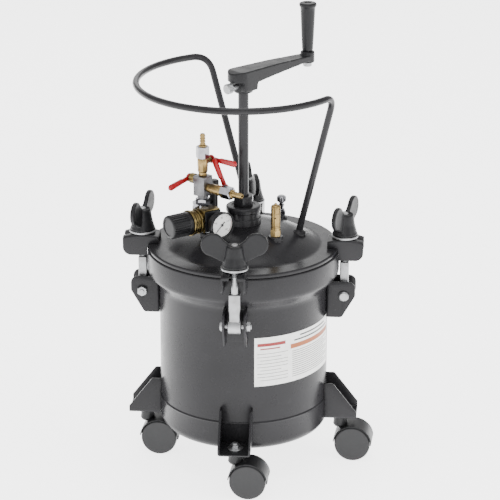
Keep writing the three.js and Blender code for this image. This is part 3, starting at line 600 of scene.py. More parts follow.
def lidLug(name):
    x, z = clamp["reach"], clamp["pin"]
    low, top = rimTop - lidLugSize["skirt"], rimTop + lidLugSize["rise"]
    crownRadius, half = top - z, lidLugSize["width"] / 2
    outer = degrees(atan2(lidLugSize["reach"], sqrt(crownRadius ** 2 - lidLugSize["reach"] ** 2)))
    inward = x - lid["radius"] + 13
    inner = degrees(atan2(inward, sqrt(crownRadius ** 2 - inward ** 2)))
    crown = arc(x, z, crownRadius, 90 - outer, 90 + inner, 16)
    endX = crown[0][0]
    profile = [(lid["radius"] - 13, lidTop - 1), (tank["rim"] - 2, lidTop - 1), (tank["rim"] - 2, low),
               *arc(endX - 12, low + 12, 12, -90, 0, 8), *crown]
    piece = slab(name, profile, lidLugSize["width"])
    # the two long bends along the crown
    bpy.ops.object.mode_set(mode="EDIT")
    bpy.ops.mesh.select_mode(type="EDGE")
    bpy.ops.mesh.select_all(action="DESELECT")
    bpy.ops.object.mode_set(mode="OBJECT")
    for edge in piece.data.edges:
        ends = [piece.data.vertices[v].co / mm for v in edge.vertices]
        edge.select = all(abs(abs(p.y) - half) < 0.1 and abs(hypot(p.x - x,
            p.z - z) - crownRadius) < 0.1 for p in ends) and abs(ends[0].y - ends[1].y) < 0.1
    bpy.ops.object.mode_set(mode="EDIT")
    bpy.ops.mesh.bevel(offset=lidLugSize["bend"] * mm, segments=5)
    bpy.ops.object.mode_set(mode="OBJECT")
    plate = clamp["plate"]
    hollow = slab("hollow", [(lid["radius"] - 25, low - 5), (x + lidLugSize["reach"] + 9, low - 5),
                             *arc(x, z, crownRadius - plate - 0.6, 64, 116, 14)],
                  lidLugSize["width"] - 2 * plate)
    slot = deck("slot", [*arc(x + 40, 0, lidLugSize["slot"], -90, 90, 2),
        *arc(x, 0, lidLugSize["slot"], 90, 270, 16)], low - 5, top + 5)
    carve(piece, hollow, slot)
    carve(piece, lidTool, tankTool, keep=True)
    return rounded(piece, 0.35, 2)


pin = {"head": 8, "headDepth": 4, "nut": 13, "nutDepth": 5, "stub": 7}


def lugPin(name):
    face = lug["width"] / 2 + fit
    r = clamp["pinRadius"]
    piece = turned(name, [(0, -face - pin["headDepth"]), (pin["head"] - 2.5,
        -face - pin["headDepth"]), (pin["head"] - 0.6, -face - pin["headDepth"] + 1.4),
        (pin["head"], -face - 1), (pin["head"], -face), (r, -face), (r, face),
        (r, face + pin["stub"] - 0.5), (r - 0.5, face + pin["stub"]), (0, face + pin["stub"])], 40)
    gather(piece, carve(nutShape("pinNut", pin["nut"], face, face + pin["nutDepth"]),
                        boreTool(r, face - 2, face + 9)))
    return put(along("Y", piece), (clamp["reach"], 0, clamp["pin"]))


bolt = {"eye": 11, "shank": (13, 16), "shankTop": 50, "thread": 5, "pitch": 1.6}


def swingBolt(name, top):
    eye = along("Y", turned("eye", [
        (4, -9.5), (10.2, -9.5), (11, -8.7), (11, 8.7), (10.2, 9.5), (4, 9.5), (4, -9.5)], 56))
    width, depth = bolt["shank"]
    shank = block("shank", (-width / 2, -depth / 2, 0), (width / 2, depth / 2, bolt["shankTop"]))
    rounded(shank, 1.6, 3)
    carve(shank, along("Y", boreTool(6, -30, 30)))
    thread = [(0, bolt["shankTop"] - 4), (bolt["thread"], bolt["shankTop"] - 4),
        (bolt["thread"], bolt["shankTop"] + 26)]
    z = bolt["shankTop"] + 26.5
    end = top - clamp["pin"]
    while z < end - 1.6:
        thread += [(bolt["thread"] - 0.6, z), (bolt["thread"], z + bolt["pitch"] / 2)]
        z += bolt["pitch"]
    thread += [(bolt["thread"] - 1.1, end), (0, end)]
    rod = turned("thread", thread, 40)
    unite(eye, shank)
    eye.name = name
    gather(eye, rod)
    return put(eye, (clamp["reach"], 0, clamp["pin"]))


washer = {"inner": 5.3, "outer": 20, "thick": 3}


def clampWasher(name, low):
    low, high, r = low, low + washer["thick"], washer["outer"]
    piece = turned(name, [(washer["inner"], low), (r - 0.5, low), (r, low + 0.5), (r, high - 0.9),
        (r - 0.9, high), (washer["inner"] + 0.5, high), (washer["inner"], high - 0.5),
        (washer["inner"], low)], 96)
    return put(piece, (clamp["reach"], 0, 0))


nut = {"base": 18.6, "tip": 12.5, "tall": 32, "ear": 17, "earOut": 31, "earUp": 33, "earThick": 6.6,
    "voxel": 0.85}


def wingNut(name, low):
    n = nut
    piece = turned(name, [(0, low), (n["base"] - 0.5, low), (n["base"], low + 0.6),
        (n["base"], low + 2.6), (n["base"] - 0.9, low + 4), (n["tip"] + 2, low + 16),
        (n["tip"], low + n["tall"] - 1.5), (n["tip"] - 1.2, low + n["tall"]), (0, low + n["tall"])],
        72)
    for side in (1, -1):
        disc = slab("disc", arc(side * n["earOut"], low + n["earUp"], n["ear"], 0, 360, 40)[:-1],
            n["earThick"])
        rounded(disc, 1.5, 3)
        neck = slab("neck", [(0, low + 4), (side * 20, low + 9), (side * (n["earOut"] + 6),
            low + n["earUp"] - 15), (side * (n["earOut"] - 12), low + n["earUp"] + 10),
            (0, low + 27)], n["earThick"])
        rounded(neck, 1, 2)
        unite(piece, disc, neck)
    castSmooth(piece, n["voxel"], 4)
    return carve(piece, boreTool(washer["inner"], low - 5, low + 50))


boltTop = highest["swing_bolt_right"].z
washerLow = lowest["clamp_washer_right"].z
nutLow = washerLow + washer["thick"] + fit
clampParts = {"tankLug": (tankLug("tankLug"), "enamel", "clamp_lug", "root"),
    "lidLug": (lidLug("lidLug"), "enamel", "lid_lug", "root"), "lugPin": (lugPin("lugPin"), "zinc",
    "lug_pin", "root"), "swingBolt": (swingBolt("swingBolt", boltTop), "zinc", "swing_bolt",
    "swing_bolt"), "clampWasher": (clampWasher("clampWasher", washerLow), "zinc", "clamp_washer",
    "clamp_washer")}
nutModel = wingNut("wingNut", nutLow)
nutTurns = {"right": 71, "back": 16, "left": 78, "front": 95}
for i, side in enumerate(sides):
    for name, (model, look, node, body) in clampParts.items():
        piece = put(copied(model, name + "_" + side), turn=90 * i)
        finish(piece, look, body if body == "root" else body + "_" + side, [node + "_" + side])
    middle = centre["clamp_washer_" + side]
    piece = put(copied(nutModel, "wingNut_" + side), (middle.x, middle.y, 0), 90 * i + nutTurns[side])
    finish(piece, "casting", "wing_nut_" + side, ["wing_nut_" + side], smooth=50)
for model in [nutModel, *(part[0] for part in clampParts.values())]:
    bpy.data.objects.remove(model)
print("clamps made")

# feet and casters
foot = {"width": 48, "plate": 3, "under": lowest["foot_bracket_right"].z, "tall": 57,
        "tip": highest["foot_bracket_right"].x, "bend": 5, "stem": 147, "hole": 5.3}


def footBracket(name):
    low, high, tip, half = foot["under"], foot["under"] + foot["tall"], foot["tip"], foot["width"] / 2
    plate, bend = foot["plate"], foot["bend"]
    # folded strip seen from its end, turned to run outwards
    strip = deck(name, [(high + 2 - low, -half), (high + 2 - low, -half + plate),
        *reversed(arc(bend, -half + bend, bend - plate, 180, 270, 5)),
        *reversed(arc(bend, half - bend, bend - plate, 90, 180, 5)), (high + 2 - low, half - plate),
        (high + 2 - low, half), *arc(bend, half - bend, bend, 90, 180, 6),
        *arc(bend, -half + bend, bend, 180, 270, 6)], 108, tip + 4)
    # drawn (height, across) upwards: height becomes Z and the length X
    put(strip, tilt=(0, -90))
    put(strip, turn=180, at=(0, 0, low))
    profile = [(108, low), (tip - 2, low), *arc(tip - 2, low + 2, 2, -90, 0, 3),
        *arc(tip - 3, low + 10, 3, 0, 60, 5), *arc(134, high - 5, 5, 40, 90, 6), (108, high)]
    trim(strip, slab("side", profile, 80))
    carve(strip, tankTool, keep=True)
    carve(strip, boreTool(foot["hole"], low - 9, low + 9, (foot["stem"], 0, 0), 32))
    return rounded(strip, 0.35, 2)


caster = {"wheel": 27, "width": 14, "whole": 38, "trail": 20, "wall": 1.5, "turn": -3.3, "stem": 5,
    "neck": 10, "floor": lowest["caster_wheels_right"].z, "web": 8}


def ringPart(name, inner, outer, low, high, start, sweep, edge):
    # a curved strip round the wheel's axle
    piece = swept(name, [(inner, low, 0), (outer - edge, low, 0), (outer, low + edge, 0),
        (outer, high - edge, 0), (outer - edge, high, 0), (inner, high, 0)], 56, sweep, (0, 1, 0))
    pick(piece)
    piece.rotation_euler = (0, radians(-start), 0)
    applyPlace()
    return piece


def casterHood(name):
    c = caster
    inner = c["wheel"] + 1
    outer, half = inner + c["wall"], c["whole"] / 2
    shell = ringPart(name, inner, outer, -half, half, 5.8, 168.4, 0.9)
    web = ringPart("web", 4.3, inner + 0.5, -c["web"] / 2, c["web"] / 2, -16, 212, 0.2)
    unite(shell, web)
    put(shell, (c["trail"], 0, c["floor"] + c["wheel"]))
    stemTop = highest["caster_hood_right"].z
    under = foot["under"] - fit
    neckFoot = under - 19
    neck = turned("neck", [(0, neckFoot - 4), (c["neck"] - 1, neckFoot),
        (c["neck"] + 0.8, neckFoot + 3), (c["neck"], neckFoot + 8), (c["neck"], under - 4),
        (c["neck"] + 1.6, under - 3.4), (c["neck"] + 1.6, under - 0.4), (c["neck"] + 1.2, under),
        (0, under)], 48)
    room = [put(along("Y", boreTool(inner, 0, 40, steps=72)), (c["trail"],
        side * c["web"] / 2 - (40 if side < 0 else 0), c["floor"] + c["wheel"])) for side in (1,
        -1)]
    carve(neck, *room)
    unite(shell, neck)
    stem = [(0, under - 1), (c["stem"], under - 1), (c["stem"], under + 2)]
    z = under + 3
    while z < stemTop - 1.2:
        stem += [(c["stem"] - 0.5, z), (c["stem"], z + 0.6)]
        z += 1.2
    stem += [(c["stem"] - 1, stemTop), (0, stemTop)]
    return shell, turned("casterStem", stem, 40)


def casterWheels(name):
    c = caster
    gapHalf, half, r = (c["whole"] - 2 * c["width"]) / 2, c["whole"] / 2, c["wheel"]
    face = [(0, half - 0.5), (r - 6, half - 0.35), (r - 2.6, half),
        *arc(r - 2.4, half - 2.4, 2.4, 85, 0, 7), (r, gapHalf + 0.8), (r - 0.8, gapHalf),
        (r - 5, gapHalf), (r - 6, gapHalf + 3), (9, gapHalf + 3), (7.5, gapHalf), (4, gapHalf)]
    outline = [*face, *[(a, -b) for a, b in reversed(face)]]
    return put(along("Y", turned(name, outline, 88)), (c["trail"], 0, c["floor"] + r))


stemNut = {"flange": 11.5, "flangeThick": 1.8, "flats": 13, "tall": 6.4}


def casterNut(name):
    s, low = stemNut, foot["under"] + foot["plate"]
    piece = turned(name, [(5, low), (s["flange"], low), (s["flange"], low + 0.8),
        (s["flange"] - 2.6, low + s["flangeThick"] + 0.4), (5, low + s["flangeThick"] + 1),
        (5, low)], 56)
    top = nutShape("flats", s["flats"], low + s["flangeThick"] - 0.4, low + s["tall"])
    carve(top, boreTool(caster["stem"], low - 4, low + 20))
    return gather(piece, top)


bracketModel = footBracket("footBracket")
hoodModel, stemModel = casterHood("casterHood")
wheelModel, stemNutModel = casterWheels("casterWheels"), casterNut("casterNut")
for i, side in enumerate(sides):
    piece = put(copied(bracketModel, "footBracket_" + side), turn=90 * i)
    finish(piece, "enamel", nodes=["foot_bracket_" + side])
    angle = radians(90 * i)
    stand = (foot["stem"] * cos(angle), foot["stem"] * sin(angle), 0)
    for model, name, look, body, nodes in [
            (hoodModel, "casterHood", "hoodPlastic", "caster", ["caster_hood"]),
            (stemModel, "casterStem", "zinc", "caster", []),
            (wheelModel, "casterWheels", "wheelPlastic", "wheels", ["caster_wheels"])]:
        piece = put(copied(model, name + "_" + side), stand, caster["turn"])
        finish(piece, look, body + "_" + side, [node + "_" + side for node in nodes])
    finish(put(copied(stemNutModel, "casterNut_" + side), stand, 12 * i), "zinc")
for model in (bracketModel, hoodModel, stemModel, wheelModel, stemNutModel):
    bpy.data.objects.remove(model)
print("feet and casters made")

# lifting ring
ring = {"rod": 5, "radius": 152, "shift": (-4, 4.5, 0), "height": rimTop + 252, "turn": 44.5,
    "gap": 138, "foot": 82, "spread": 87, "bend": 26, "pad": 11}


def polar(radius, angle, z):
    return Vector((radius * cos(radians(angle)), radius * sin(radians(angle)), z))


def onRing(r, angle):
    return polar(r["radius"], angle, r["height"]) + Vector(r["shift"])


def curveThrough(start, corner, end, steps):
    shares = [i / steps for i in range(steps + 1)]
    return [start * (1 - t) ** 2 + corner * 2 * t * (1 - t) + end * t * t for t in shares]


def ringLine(r):
    feet = [polar(r["foot"], r["turn"] + s * r["spread"] / 2, domeTop(r["foot"]) + 3) for s in (1, -1)]
    ends = [r["turn"] + r["gap"] / 2, r["turn"] - r["gap"] / 2 + 360]
    inset = degrees(r["bend"] / r["radius"])
    bends = []
    for spot, angle, inward in ((feet[0], ends[0], 1), (feet[1], ends[1], -1)):
        corner = onRing(r, angle)
        below = corner + (spot - corner).normalized() * r["bend"]
        bends.append(curveThrough(below, corner, onRing(r, angle + inward * inset), 12))
    start, end = ends[0] + inset, ends[1] - inset
    loop = [onRing(r, start + (end - start) * i / 72) for i in range(1, 72)]
    return [feet[0], *bends[0], *loop, *reversed(bends[1]), feet[1]], feet


line, ringFeet = ringLine(ring)
liftingRing = bentRod("liftingRing", line, ring["rod"], 5)
carve(liftingRing, lidTool, keep=True)
finish(liftingRing, "enamel", nodes=["lifting_ring"], smooth=50)
for i, spot in enumerate(ringFeet):
    pad = turned("ringWeld_" + "ab"[i], [(0, spot.z - 10), (ring["pad"] - 0.4, spot.z - 10),
        (ring["pad"], spot.z - 2), (ring["pad"] - 1.2, spot.z), (ring["pad"] - 3.6, spot.z + 1.3),
        (5.6, spot.z + 2.8), (0, spot.z + 3)], 48, at=(spot.x, spot.y, 0))
    carve(pad, lidTool, keep=True)
    finish(pad, "enamel")
print("lifting ring bent")

# agitator: gland on the lid, shaft, paddle and crank
gland = {"radius": 26, "nutFlats": 27, "shaft": 7.6, "bore": 7.9, "collar": 9}
glandLow, glandHigh = domeTop(gland["radius"]) + fit, domeTop(0) + 26


g = gland["radius"]
agitatorGland = turned("agitatorGland", [(0, glandLow - 2), (g, glandLow - 2),
    (g, glandLow + gland["collar"]), (g - 0.6, glandLow + gland["collar"] + 0.6),
    (g - 1.8, glandLow + gland["collar"] + 1.2), (g - 1.8, glandHigh - 9), (g - 0.5, glandHigh - 8),
    (g, glandHigh - 7.4), (g, glandHigh - 2.4), (g - 0.7, glandHigh - 1), (g - 2.4, glandHigh),
    (17.6, glandHigh), (17, glandHigh - 0.9), (0, glandHigh - 0.9)], 96)
carve(agitatorGland, lidTool, keep=True)
carve(agitatorGland, boreTool(gland["bore"], glandLow - 20, glandHigh + 9))
finish(agitatorGland, "enamel", nodes=["agitator_gland"])
glandNut = nutShape("glandNut", gland["nutFlats"], glandHigh - 0.9, glandHigh + 15)
rounded(carve(glandNut, boreTool(gland["bore"], glandHigh - 9, glandHigh + 30)), 0.3, 2)
finish(glandNut, "enamel")

shaftLow, shaftHigh = lowest["agitator_shaft"].z, highest["agitator_shaft"].z
r = gland["shaft"]
agitatorShaft = turned("agitatorShaft", [(0, shaftLow), (r - 1, shaftLow), (r, shaftLow + 1),
    (r, shaftHigh - 1), (r - 1, shaftHigh), (0, shaftHigh)], 64)
finish(agitatorShaft, "enamel", "agitator", ["agitator_shaft"])

paddle = {"low": lowest["agitator_paddle"].z, "hub": 14, "tall": 26, "tip": 72, "pitch": 40}
blades = []
for turn in (0, 180):
    blade = deck("blade", [(8, -12), (paddle["tip"] - 8, -12), *arc(paddle["tip"] - 6, -6, 6, -90,
        0, 5), *arc(paddle["tip"] - 6, 6, 6, 0, 90, 5), (8, 12)], -1.5, 1.5)
    rounded(blade, 0.5, 2)
    blades.append(put(put(blade, tilt=(paddle["pitch"], 0)), (0, 0, paddle["low"] + 13), turn))
low, high = paddle["low"], paddle["low"] + paddle["tall"]
agitatorPaddle = turned("agitatorPaddle", [(0, low), (paddle["hub"] - 1, low),
    (paddle["hub"], low + 1), (paddle["hub"], high - 1), (paddle["hub"] - 1, high), (0, high)], 64)
unite(agitatorPaddle, *blades)
carve(agitatorPaddle, boreTool(gland["bore"], low - 9, high + 9))
finish(agitatorPaddle, "zinc", "agitator", ["agitator_paddle"])

crank = {"top": highest["crank_arm"].z - 3, "turn": 48, "reach": 130, "hub": 14, "hubLength": 34,
    "boss": 10.5, "voxel": 0.9}


def crankArm(c):
    top = c["top"]
    plan = [*arc(c["reach"], 0, c["boss"], -80, 80, 12), *arc(-8, 0, c["hub"] + 3, 85, 275, 18)]
    side = [(-40, top - 16), (2 - c["hub"], top - 16), (2 - c["hub"], top - 30),
        (c["hub"], top - 30), (c["hub"] + 1.6, top - 19.6), (46, top - 16.4), (84, top - 13),
        (c["reach"] - 20, top - 11), (c["reach"] + 20, top - 10), (c["reach"] + 20, top - 3),
        (60, top), (-16, top), (-40, top - 8)]
    arm = deck("crankArm", plan, top - 40, top + 5)
    trim(arm, slab("side", side, 60))
    low = top - c["hubLength"]
    hub = turned("hub", [(0, low), (c["hub"] - 1, low), (c["hub"], low + 1), (c["hub"], top - 4),
        (0, top - 4)], 56)
    boss = turned("boss", [(0, top - 14), (c["boss"] - 1, top - 14), (c["boss"], top - 13),
        (c["boss"], top + 2), (c["boss"] - 1, top + 3), (0, top + 3)], 48, at=(c["reach"], 0, 0))
    unite(arm, hub, boss)
    castSmooth(arm, c["voxel"], 5)
    carve(arm, boreTool(gland["bore"], low - 9, top - 5.7), boreTool(4.3, top - 30, top + 20,
        at=(c["reach"], 0, 0)))
    return carve(arm, put(along("X", boreTool(4.3, -40, -gland["bore"] + 2)), (0, 0, low + 10)))


arm = put(crankArm(crank), turn=crank["turn"])
finish(arm, "casting", "agitator", ["crank_arm"], smooth=50)

screw = {"head": 7.5, "thick": 10, "ribs": 22, "neck": 4}
ribs = [(screw["head"] - (0.7 if i % 2 else 0),
    360 * i / screw["ribs"] / 2) for i in range(2 * screw["ribs"])]
clampScrew = deck("clampScrew", [(a * cos(radians(b)), a * sin(radians(b))) for a, b in ribs], -35,
    -33 + screw["thick"])
trim(clampScrew, turned("ends", [(0, -34), (6.2, -34), (7.6, -32.8), (7.6, -25.2), (6.2, -24),
    (0, -24)], 48))
unite(clampScrew, boreTool(screw["neck"], -25, -gland["bore"] - 0.3))
put(put(along("X", clampScrew), (0, 0, crank["top"] - crank["hubLength"] + 10)), turn=crank["turn"])
finish(clampScrew, "zinc", "agitator", ["crank_clamp_screw"])

grip = {"tall": 73}
gripFoot = crank["top"] + 3 + fit
gripEnd = gripFoot + grip["tall"]
gripAngle = radians(crank["turn"])
gripX, gripY = crank["reach"] * cos(gripAngle), crank["reach"] * sin(gripAngle)
crankGrip = turned("crankGrip", [(0, gripFoot), (7.0, gripFoot), (7.8, gripFoot + 0.8),
    (8.2, gripFoot + 3), (8.4, gripFoot + 6), (9.2, gripFoot + 22), (10.0, gripFoot + 42),
    (10.8, gripEnd - 12), (11.1, gripEnd - 7.4), (11.7, gripEnd - 6.2), (12.6, gripEnd - 4.8),
    (12.9, gripEnd - 3.6), (12.8, gripEnd - 1.6), (12.0, gripEnd - 0.5), (10.8, gripEnd),
    (5.2, gripEnd), (4.6, gripEnd - 0.9), (0, gripEnd - 0.9)], 72, at=(gripX, gripY, 0))
finish(crankGrip, "casting", "grip", ["crank_grip"])
top = crank["top"]
gripSpindle = turned("gripSpindle", [(0, top - 20), (5.4, top - 20), (6.5, top - 19),
    (6.5, top - 14 - fit), (4, top - 14 - fit), (4, gripFoot + 2), (0, gripFoot + 2)], 40,
    at=(gripX, gripY, 0))
finish(gripSpindle, "zinc", "grip")
print("agitator and crank made")

# manifold: cross block, two ball valves, three levers and the fluid tube
crossBlock = {"size": 20, "top": highest["manifold_block"].z, "tall": 30, "neck": 7, "collar": 34,
    "collarTall": 8, "outlet": centre["fluid_outlet_valve"].z}
low = crossBlock["top"] - crossBlock["tall"]
inlet = crossBlock["top"] - 8
collarLow = lowest["manifold_block"].z
onManifold = {"at": (manifold["x"], manifold["y"], 0), "turn": manifold["turn"]}

half = crossBlock["size"] / 2
manifoldBlock = rounded(block("manifoldBlock", (-half, -half, low),
    (half, half, crossBlock["top"])), 0.9, 3)
unite(manifoldBlock, put(along("Y", turned("sideBoss", [
    (0, 0), (6.5, 0), (6.5, 16.4), (5.9, manifold["tubeOffset"] - manifold["tubeRadius"] - 0.3),
    (0, manifold["tubeOffset"] - manifold["tubeRadius"] - 0.3)], 40)), (0, 0, crossBlock["outlet"])))
unite(manifoldBlock, put(along("X", turned("inletBoss", [
    (0, -half - 3), (6.8, -half - 3), (6.8, 0), (0, 0)], 48)), (0, 0, inlet)))
unite(manifoldBlock, put(along("X", boreTool(2.6, -half - 19, -half - 5)), (0, 0, inlet)))
unite(manifoldBlock, turned("neck", [(0, low - 12), (crossBlock["neck"] + 0.8, low - 12),
    (crossBlock["neck"] + 0.8, low - 9.6), (crossBlock["neck"], low - 9),
    (crossBlock["neck"], low - 2.6), (crossBlock["neck"] + 1, low - 2),
    (crossBlock["neck"] + 1, low + 1), (0, low + 1)], 48))
finish(put(manifoldBlock, **onManifold), "alloy", nodes=["manifold_block"])
inletCap = put(along("X", turned("inletCap", [
    (2.7, -half - 12), (6.7, -half - 12), (7.5, -half - 11.2), (7.5, -half - 3.6), (7, -half - 3.1),
    (2.7, -half - 3.1), (2.7, -half - 12)], 48)), (0, 0, inlet))
finish(put(inletCap, **onManifold), "yellowZinc")
collar = nutShape("manifoldCollar", crossBlock["collar"] - 4, collarLow,
    collarLow + crossBlock["collarTall"], 8)
unite(collar, nutShape("unionNut", 19, collarLow + crossBlock["collarTall"] - 0.5, low - 4.6))
finish(put(rounded(collar, 0.3, 2), **onManifold), "chromePlate")

valve = {"body": 7.5, "hex": 17, "hexEnd": 44, "barb": 4.4, "barbEnd": 63, "stem": 2.6,
    "stemPlace": 20, "ridges": 4}


def ballValve(stemReach):
    # drawn up Z from its threaded end, stem along Y
    v = valve
    body = turned("body", [(0, 0), (6, 0), (6.2, 1), (6.2, 5), (6.8, 5.6), (v["body"], 7),
        (v["body"], 13.5), (v["body"] + 0.3, 14.2), (v["body"] + 0.3, 25), (v["body"] - 0.3, 26.2),
        (v["body"] - 0.6, 27), (0, 27)], 64)
    boss = put(along("Y", turned("stemBoss", [(0, 0), (4.6, 0), (4.6, stemReach - 8),
        (4.1, stemReach - 7.4), (0, stemReach - 7.4)], 40)), (0, 0, v["stemPlace"]))
    unite(body, boss)
    nutPart = nutShape("hex", v["hex"], 26.6, v["hexEnd"])
    barb = [(0, 43.5), (5.6, 43.5), (6.2, 44.2), (6.2, 45.4), (v["barb"] - 0.6, 46.2)]
    for i in range(v["ridges"]):
        z = 47 + 4 * i
        barb += [(v["barb"] - 1, z), (v["barb"], z + 0.3), (v["barb"] - 0.1, z + 0.9),
            (v["barb"] - 1, z + 3.4)]
    barb += [(v["barb"] - 1, v["barbEnd"] - 0.4), (v["barb"] - 1.4, v["barbEnd"]), (1.9, v["barbEnd"]),
             (1.9, v["barbEnd"] - 5), (0, v["barbEnd"] - 5)]
    tail = turned("barb", barb, 48)
    stem = put(along("Y", turned("stem", [(0, stemReach - 9), (v["stem"], stemReach - 9),
        (v["stem"], stemReach - 0.4), (v["stem"] - 0.4, stemReach), (0, stemReach)], 32)),
        (0, 0, v["stemPlace"]))
    return {"Body": (body, "brass"), "Hex": (nutPart, "chromePlate"), "Barb": (tail, "brass"),
        "Stem": (stem, "zinc")}


def stemNutAt(name, stemReach):
    outer = stemReach - 6 + fit + lever["thick"]
    piece = nutShape(name, 8, outer + 0.1, stemReach - 0.3)
    return along("Y", piece)


lever = {"reach": 46, "width": 9, "thick": 3.4, "eye": 6.2, "sleeve": 5.4, "sleeveStart": 15}


def leverShape(name, stemReach, pitch, outwards):
    # drawn along X from its stem; the vinyl sleeve is thicker than the steel inside it
    start = stemReach - 6 + fit
    w = lever["width"] / 2
    strap = slab(name, [
        *arc(0, 0, lever["eye"], 35, 325, 24), (14, -3.2), (lever["sleeveStart"] + 5, -3.2),
        (lever["sleeveStart"] + 5, 3.2), (14, 3.2)], lever["thick"], start + lever["thick"] / 2)
    rounded(strap, 0.7, 2)
    shift = (lever["sleeve"] - lever["thick"]) / 2 * (1 if outwards else -1)
    sleeve = slab("sleeve", [(lever["sleeveStart"], -3.7), *arc(lever["reach"] - w, 0, w, -90, 90,
        14), (lever["sleeveStart"], 3.7)], lever["sleeve"], start + lever["thick"] / 2 + shift)
    rounded(sleeve, 1.9, 4)
    unite(strap, sleeve)
    carve(strap, along("Y", boreTool(2.9, start - 3, start + 9)))
    return put(strap, tilt=(0, -pitch))


outletX = half + fit
valvePlaces = {"airOutlet": {"reach": 23.5, "tilt": 0, "at": (0, 0, crossBlock["top"] + fit),
    "stem": (0, 0, crossBlock["top"] + fit + valve["stemPlace"]), "pitch": 0, "out": True,
    "side": 0}, "fluidOutlet": {"reach": 19, "tilt": 90, "at": (outletX, 0, crossBlock["outlet"]),
    "stem": (outletX + valve["stemPlace"], 0, crossBlock["outlet"]), "pitch": 117, "out": False,
    "side": 0}, "airInlet": {"reach": 19, "stem": (-half, 0, inlet), "pitch": 188, "out": True,
    "side": 90}}
nodeOf = {"airOutlet": "air_outlet", "fluidOutlet": "fluid_outlet", "airInlet": "air_inlet"}
for name, spot in valvePlaces.items():
    node = nodeOf[name]
    if "at" in spot:
        for part, (piece, look) in ballValve(spot["reach"]).items():
            piece.name = name + part
            put(put(piece, spot["at"], tilt=(0, spot["tilt"])), **onManifold)
            finish(piece, look, nodes=[node + "_valve"] if part == "Body" else [])
    handle = leverShape(name + "Lever", spot["reach"], spot["pitch"], spot["out"])
    put(put(handle, spot["stem"], spot["side"]), **onManifold)
    finish(handle, "vinyl", node + "_lever", [node + "_lever"])
    topNut = stemNutAt(name + "StemNut", spot["reach"])
    put(put(topNut, spot["stem"], spot["side"]), **onManifold)
    finish(topNut, "zinc", node + "_lever")

tubeTop = crossBlock["outlet"] + 4
under = lid["under"]
away = atan2(tubeY, tubeX)
sideX, sideY = (tank["radius"] - 25) * cos(away), (tank["radius"] - 25) * sin(away)
upper, lower = Vector((tubeX, tubeY, under - 20)), Vector((sideX, sideY, under - 110))
run = [Vector((tubeX, tubeY, tubeTop - 6)), upper]
for i in range(1, 17):
    t = i / 16
    a, b = upper - Vector((0, 0, 40)), lower + Vector((0, 0, 40))
    run.append(upper * (1 - t) ** 3 + a * 3 * t * (1 - t) ** 2
               + b * 3 * t * t * (1 - t) + lower * t ** 3)
run.append(Vector((sideX, sideY, 15)))
fluidTube = bentRod("fluidTube", run, manifold["tubeRadius"], 6)
unite(fluidTube, turned("tubeHead", [(0, tubeTop - 15), (7.4, tubeTop - 15), (8, tubeTop - 14.4),
    (8, tubeTop - 2), (7.2, tubeTop - 0.6), (6, tubeTop), (0, tubeTop)], 48, at=(tubeX, tubeY, 0)))
carve(fluidTube, put(put(along("Y", boreTool(6.8, 0, manifold["tubeOffset"] - manifold["tubeRadius"])),
                         (0, 0, crossBlock["outlet"])), **onManifold))
finish(fluidTube, "enamel", nodes=["fluid_tube"], smooth=50)
print("manifold and valves made")

# regulator: X along its knob, Y towards the gauge
regulator = {"x": -50.6, "y": -35.6, "turn": -140.5, "size": 30, "knob": 17.5, "knobLength": 34,
    "ribs": 28, "bonnet": 14, "height": centre["regulator_knob"].z}
onRegulator = {"at": (regulator["x"], regulator["y"], regulator["height"]), "turn": regulator["turn"]}
half = regulator["size"] / 2
neckEnd = half + regulator["bonnet"]
bodyTop = highest["regulator_body"].z - regulator["height"]

housing = rounded(block("regulatorBody", (-half, -half, -half), (half - 2.2, half, bodyTop - 2)),
    2.2, 4)
port = along("Y", turned("port", [(0, -half - 1.6), (7, -half - 1.6), (8, -half - 0.8),
    (8, -half + 2), (0, -half + 2)], 48))
bonnet = along("X", turned("bonnet", [(0, half - 3), (14.4, half - 3), (14.4, half + 2),
    (15, half + 2.6), (15, neckEnd + 0.4), (11, neckEnd + 0.6), (11, neckEnd + 12),
    (10.4, neckEnd + 12.6), (0, neckEnd + 12.6)], 64))
unite(housing, port, bonnet)
finish(put(housing, **onRegulator), "mouldedBlack", nodes=["regulator_body"])

# yellow-passivated bracket: a plate in front of the body and one over it, with four screws
bracket = gather(rounded(block("regulatorBracket", (half - 2.1, -half - 0.6, -half + 0.4),
    (half, half + 0.1, bodyTop)), 0.5, 2), rounded(block("overPlate",
    (-half + 2, -half - 0.6, bodyTop - 1.9), (half - 0.6, half + 0.1, bodyTop - 0.1)), 0.5, 2))
for y in (-half + 3.6, half - 4.2):
    for z in (-half + 4, half - 4):
        head = turned("head", [(0, half - 0.4), (2.5, half - 0.4), (2.5, half + 0.8),
            (1.7, half + 1.5), (0, half + 1.7)], 24)
        gather(bracket, put(along("X", head), (0, y, z)))
finish(put(bracket, **onRegulator), "yellowZinc")
rings = [(15.2, half + 1.2)]
for i, (inner, outer) in enumerate([(15.6, 18.2), (15.4, 17.0), (15.4, 17.8)]):
    z = half + 1.8 + 4 * i
    rings += [(inner, z), (outer - 0.4, z), (outer, z + 0.4), (outer, z + 2.2),
        (outer - 0.4, z + 2.6), (inner, z + 2.6)]
rings += [(15.2, neckEnd - 0.2), (18.6, neckEnd + 0.2), (19, neckEnd + 0.6), (19, neckEnd + 3.4),
    (18.6, neckEnd + 3.8), (12, neckEnd + 3.8), (12, neckEnd + 0.6), (15.1, neckEnd + 0.4),
    (15.1, half + 1.2), (15.2, half + 1.2)]
finish(put(along("X", turned("panelRings", rings, 72)), **onRegulator), "yellowZinc")
nipple = nutShape("regulatorNipple", 12, -half - 4.6, -half + 0.5)
unite(nipple, turned("nippleRod", [(0, -half - 24), (5, -half - 24), (5, -half - 4),
    (0, -half - 4)], 40))
finish(put(nipple, **onRegulator), "zinc")

